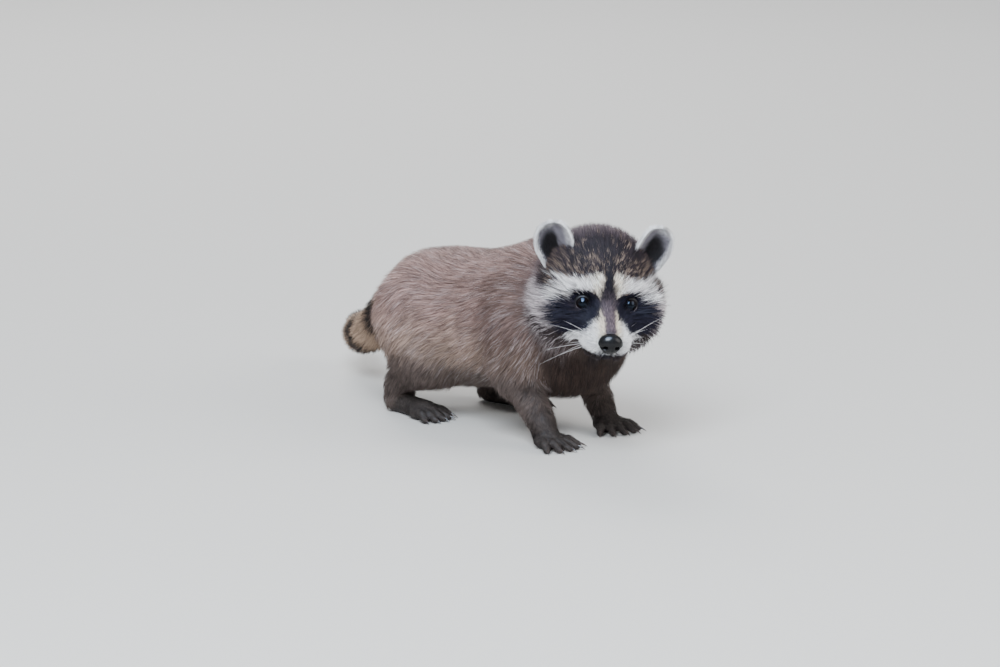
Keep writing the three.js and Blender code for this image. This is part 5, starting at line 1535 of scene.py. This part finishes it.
def ear_hairs(random, count):
    """Where an ear's hairs stand, whether behind, on the rim or on the inner side, and how they lie."""
    behind, rim = random.random(count) < 0.42, random.random(count) < 0.46
    side_edge = rim & (random.random(count) < 0.72)
    crest = rim & ~side_edge
    u, v = 0.06 + 0.9 * random.random(count) ** 0.9, random.uniform(-1, 1, count)
    v = np.where(side_edge, np.sign(v) * (1 - 0.16 * random.random(count) ** 1.4), v)
    # the crest's hairs are spread evenly across the tip
    top = CREST_HALF * v
    u = np.where(crest, np.minimum(ear_crest(top), EAR_END) - 0.07 * random.random(count) ** 1.4, u)
    v = np.where(crest, top / ear_half(u), v)
    inner = (v < -0.3) & ~behind & ~rim
    reach = np.select([rim, inner, behind], [2.9, 7.5, 4.2], 3.0) * random.uniform(0.7, 1.2, count)
    room = np.maximum(0.98 - u, 0.03) * EAR_LENGTH
    reach = np.where(rim, reach * np.where(crest, 0.72, 1), np.minimum(reach, room))
    rise = np.select([rim, inner], [0.7, 1.3], 0.8) * random.uniform(0.6, 1.2, count)
    lean = np.select([side_edge, rim, inner], [np.sign(v) * (0.45 + 0.5 * u**2), 0.085 * top, 0.4], 0.1 * v)
    return EarHairs(u, v, behind, rim, inner, reach, rise, lean + 0.12 * random.normal(size=count))


def on_grid_of_ear(grid, i, j):
    """A grid's values at i rows and j columns, which needn't be whole."""
    i0, j0 = np.minimum(i.astype(int), EAR_STEPS - 1), np.minimum(j.astype(int), EAR_STEPS - 1)
    fi, fj = (i - i0)[:, None], (j - j0)[:, None]
    low = grid[i0, j0] * (1 - fj) + grid[i0, j0 + 1] * fj
    high = grid[i0 + 1, j0] * (1 - fj) + grid[i0 + 1, j0 + 1] * fj
    return low * (1 - fi) + high * fi


def ear_lines(s, hairs):
    """Lines of an ear's hairs over its cup in the head's frame, and their normals."""
    axis, facing, outward = ear_axes(s)
    layers = ear_shell(s, EAR_STEPS)[0]
    slopes = []
    for layer, way in zip(layers, (facing, -facing)):
        slope = unit(np.cross(np.gradient(layer, axis=0), np.gradient(layer, axis=1)))
        slopes.append(slope * np.sign(slope @ way)[..., None])
    half = np.linalg.norm(layers[0][:, -1] - layers[0][:, 0], axis=1) / 2
    marks = np.linspace(0, 1, EAR_STEPS + 1)
    lines, normals = [], []
    for t in (0, 0.5, 1):
        ahead = hairs.u + hairs.reach * np.cos(hairs.lean) * t / EAR_LENGTH
        start, wide = (np.interp(np.clip(w, 0, EAR_END) / EAR_END, marks, half) for w in (hairs.u, ahead))
        across = hairs.v * start + hairs.reach * np.sin(hairs.lean) * t
        i = np.clip(ahead, 0, EAR_END) / EAR_END * EAR_STEPS
        j = (np.clip(across / wide, -1, 1) + 1) / 2 * EAR_STEPS
        p, n = (
            np.where(hairs.behind[:, None], on_grid_of_ear(back, i, j), on_grid_of_ear(front, i, j))
            for front, back in (layers, slopes)
        )
        over = across - np.clip(across, -wide, wide)
        p = p + axis * (EAR_LENGTH * np.maximum(ahead - EAR_END, 0))[:, None] + outward * over[:, None]
        lines.append(p + n * (-0.25 + (hairs.rise + 0.25) * (1 - (1 - t) ** 1.6))[:, None])
        normals.append(n)
    edge = outward * hairs.v[:, None] + axis * hairs.u[:, None] ** 3 + 0.35 * facing
    normals = unit(np.where(hairs.rim[:, None], edge + 0.6 * normals[0], normals[0]))
    return np.stack(lines, axis=1), normals


def ear_colours(head, hairs, random):
    """Dark in the hollow, grey behind, and white along the rim."""
    u, v, behind, rim, inner = hairs[:5]
    count = len(u)
    dark = np.clip(ear_hollow(u, v) * 1.15 + 0.08 * random.normal(size=count), 0, 1) * ~behind
    base = mix(flat_colour(head.ear, count), head.hollow, dark * np.where(inner, 0.45, 0.95))
    back = 0.75 * behind * ease(0.8, 0.3, u) * ease(0.85, 0.6, np.abs(v))
    base = mix(base, head.crown, back)
    pale = ease(0.74, 0.92, np.maximum(np.abs(v), u)) * np.where(inner, 0.55, 0.95)
    base = mix(base, head.ear_rim, np.where(rim, 1.0, pale))
    base = np.clip(base * random.uniform(0.82, 1.08, (count, 1)), 0.002, 0.98)
    return [base * 0.85, base, base]


class RACCOON_OT_ear_coat(bpy.types.Operator):
    """Grows the ears' fur: short behind, white along the edge, and long and pale over the dark hollow"""

    bl_idname = "raccoon.ear_coat"
    bl_label = "Ears' coat"

    def execute(self, context):
        random = np.random.default_rng(31)
        count = EAR_HAIRS
        for s, name, foot in ((1, "ear_fur_right", 0.47), (-1, "ear_fur_left", 0.6)):
            hairs = ear_hairs(random, count)
            lines, normals = ear_lines(s, hairs)
            layers = ear_colours(context.scene.raccoon_head, hairs, random)
            aside = 0.76 + 0.05 * (hairs.v + 1) + 0.115 * hairs.behind
            place = np.stack([aside, foot + 0.11 * hairs.u], axis=1)
            width = random.uniform(0.13, 0.21, count) * np.where(hairs.rim, 0.85, 1)
            lines, normals = from_head(lines), turned(normals)
            finish_piece(tufts(name, lines, normals, width, layers, place, random), "ear_fur")
        return {"FINISHED"}


class RACCOON_OT_body_coat(bpy.types.Operator):
    """Grows the long coat of the neck, back, flanks and belly"""

    bl_idname = "raccoon.body_coat"
    bl_label = "Body's coat"

    def execute(self, context):
        grow("neck_fur", ["neck"], "body_fur", seed=14)
        grow("body_fur", ["body"], "body_fur", seed=15, pieces=2)
        grow("belly_fur", ["belly"], "body_fur", seed=16)
        return {"FINISHED"}


def off_the_sole(centres, facing):
    """True on the paws' sides and tops."""
    return (facing[:, 2] > -0.35) | (centres[:, 2] > 9)


class RACCOON_OT_leg_coat(bpy.types.Operator):
    """Grows the coat of the legs and the very short fur of the paws"""

    bl_idname = "raccoon.leg_coat"
    bl_label = "Legs' coat"

    def execute(self, context):
        grow("upper_leg_fur", ["thigh"], "leg_fur", seed=17)
        grow("lower_leg_fur", ["limb"], "leg_fur", seed=18)
        grow("paw_fur", ["paw"], "paw", seed=19, clump=5, where=off_the_sole)
        return {"FINISHED"}


class RACCOON_OT_tail_coat(bpy.types.Operator):
    """Grows the bushy coat of the tail in its rings"""

    bl_idname = "raccoon.tail_coat"
    bl_label = "Tail's coat"

    def execute(self, context):
        grow("tail_fur", ["tail"], "dark_tail_fur", seed=20)
        return {"FINISHED"}


FLOOR_RADIUS, FLOOR_SIDES = 12, 64
AZIMUTH, ELEVATION = math.radians(-40), math.radians(11)
FOCAL, SENSOR = 200, 36  # millimetres
IMAGE_WIDTH, IMAGE_HEIGHT = 1000, 667
HEAD_PIXEL = (606, 306)  # where the render shows the point between the eyes
PIXEL = 0.78 * MM  # size of one pixel there
LIT_POINT = Vector((0, -0.05, 0.08))
KEY_AT, SKY_CARD_AT = (-2.0, -1.7, 2.2), (-1.25, -1.2, 2.5)
FILL_AT, RIM_AT = (1.6, -2.4, 1.4), (1.2, 2.2, 2.0)
SKY_CARD_POWER = 300.0


def lay_floor(scene, colour):
    """A wide pale disk under the paws."""
    mesh = bpy.data.meshes.new("floor")
    turns = np.arange(FLOOR_SIDES) / FLOOR_SIDES * 2 * math.pi
    edge = [(FLOOR_RADIUS * math.cos(a), FLOOR_RADIUS * math.sin(a), 0) for a in turns]
    mesh.from_pydata(edge, [], [tuple(range(FLOOR_SIDES))])
    floor = bpy.data.objects.new("floor", mesh)
    scene.collection.objects.link(floor)
    paint, tree, shader = new_material("studio_floor", Roughness=0.8)
    grain = add_node(tree, "ShaderNodeTexNoise", Scale=3)
    tone = tree.nodes.new("ShaderNodeMix")
    tone.data_type = "RGBA"
    tone.inputs["A"].default_value = (*colour, 1)
    tone.inputs["B"].default_value = (*[c * 0.97 for c in colour], 1)
    tree.links.new(grain.outputs["Fac"], tone.inputs["Factor"])
    tree.links.new(tone.outputs["Result"], shader.inputs["Base Color"])
    mesh.materials.append(paint)


def place_camera(scene):
    """Aims the camera so that the point between the eyes comes to its place in the render."""
    flat = math.cos(ELEVATION)
    back = Vector((math.sin(AZIMUTH) * flat, -math.cos(AZIMUTH) * flat, math.sin(ELEVATION)))
    right = Vector((math.cos(AZIMUTH), math.sin(AZIMUTH), 0))
    up = back.cross(right)
    between = Vector(((HEAD_AT + OFFSET) * MM).tolist())
    aside, above = HEAD_PIXEL[0] - IMAGE_WIDTH / 2, IMAGE_HEIGHT / 2 - HEAD_PIXEL[1]
    aim = between - right * aside * PIXEL - up * above * PIXEL
    camera = bpy.data.cameras.new("camera")
    camera.lens, camera.sensor_width = FOCAL, SENSOR
    camera.clip_start, camera.clip_end = 0.05, 60
    eye = bpy.data.objects.new("camera", camera)
    place = Matrix((right, up, back)).transposed().to_4x4()
    place.translation = aim + back * (FOCAL / SENSOR * IMAGE_WIDTH * PIXEL)
    eye.matrix_world = place
    scene.collection.objects.link(eye)
    scene.camera = eye


def softbox(scene, name, power, size, at, colour):
    """A round soft light turned to the figure."""
    light = bpy.data.lights.new(name, "AREA")
    light.shape, light.size, light.energy, light.color = "DISK", size, power, colour
    lamp = bpy.data.objects.new(name, light)
    lamp.location = at
    lamp.rotation_mode = "QUATERNION"
    lamp.rotation_quaternion = (LIT_POINT - Vector(at)).to_track_quat("-Z", "Y")
    scene.collection.objects.link(lamp)
    return lamp


class RACCOON_OT_stage(bpy.types.Operator):
    """Lays the pale floor, sets the soft lights and places the camera"""

    bl_idname = "raccoon.stage"
    bl_label = "Stage"

    def execute(self, context):
        scene, settings = context.scene, context.scene.raccoon_stage
        lay_floor(scene, settings.floor)
        place_camera(scene)
        softbox(scene, "key", settings.key, 1.7, KEY_AT, (0.86, 0.93, 1.0))
        card = softbox(scene, "sky_card", SKY_CARD_POWER, 2.1, SKY_CARD_AT, (0.55, 0.74, 1.0))
        card.visible_diffuse = False  # it only gives the eyes and the nose their blue glint
        softbox(scene, "fill", settings.fill, 2.2, FILL_AT, (1.0, 0.98, 0.95))
        softbox(scene, "rim", settings.fill, 1.6, RIM_AT, (1.0, 1.0, 1.0))
        world = bpy.data.worlds.new("studio")
        world.use_nodes = True
        backdrop = world.node_tree.nodes["Background"].inputs
        backdrop["Color"].default_value = (0.92, 0.95, 1.0, 1)
        backdrop["Strength"].default_value = settings.sky
        scene.world = world
        return {"FINISHED"}


OPERATORS = [
    RACCOON_OT_skin,
    RACCOON_OT_eyes,
    RACCOON_OT_nose,
    RACCOON_OT_claws,
    RACCOON_OT_whiskers,
    RACCOON_OT_head_coat,
    RACCOON_OT_ear_coat,
    RACCOON_OT_body_coat,
    RACCOON_OT_leg_coat,
    RACCOON_OT_tail_coat,
    RACCOON_OT_stage,
]
GROUPS = {
    "raccoon_head": HeadColours,
    "raccoon_body": BodyColours,
    "raccoon_coat": CoatSizes,
    "raccoon_stage": StageSettings,
}


class RACCOON_PT_panel(bpy.types.Panel):
    bl_idname = "RACCOON_PT_panel"
    bl_label = "Raccoon Kit"
    bl_space_type = "VIEW_3D"
    bl_region_type = "UI"
    bl_category = "Raccoon"

    def draw(self, context):
        for operator in OPERATORS:
            self.layout.operator(operator.bl_idname)
        for name in GROUPS:
            group = getattr(context.scene, name)
            box = self.layout.box()
            box.label(text=group.bl_rna.description)
            for field in group.__annotations__:
                box.prop(group, field)


def register():
    """Adds the settings, the operators and the panel."""
    for group in GROUPS.values():
        bpy.utils.register_class(group)
    for name, group in GROUPS.items():
        setattr(bpy.types.Scene, name, bpy.props.PointerProperty(type=group))
    for kind in (*OPERATORS, RACCOON_PT_panel):
        bpy.utils.register_class(kind)


def unregister():
    """Takes them away again."""
    for kind in reversed((*OPERATORS, RACCOON_PT_panel)):
        bpy.utils.unregister_class(kind)
    for name in GROUPS:
        delattr(bpy.types.Scene, name)
    for group in reversed(list(GROUPS.values())):
        bpy.utils.unregister_class(group)


def main():
    """Builds every piece in order."""
    register()
    for operator in OPERATORS:
        space, name = operator.bl_idname.split(".")
        getattr(getattr(bpy.ops, space), name)()


if __name__ == "__main__":
    main()
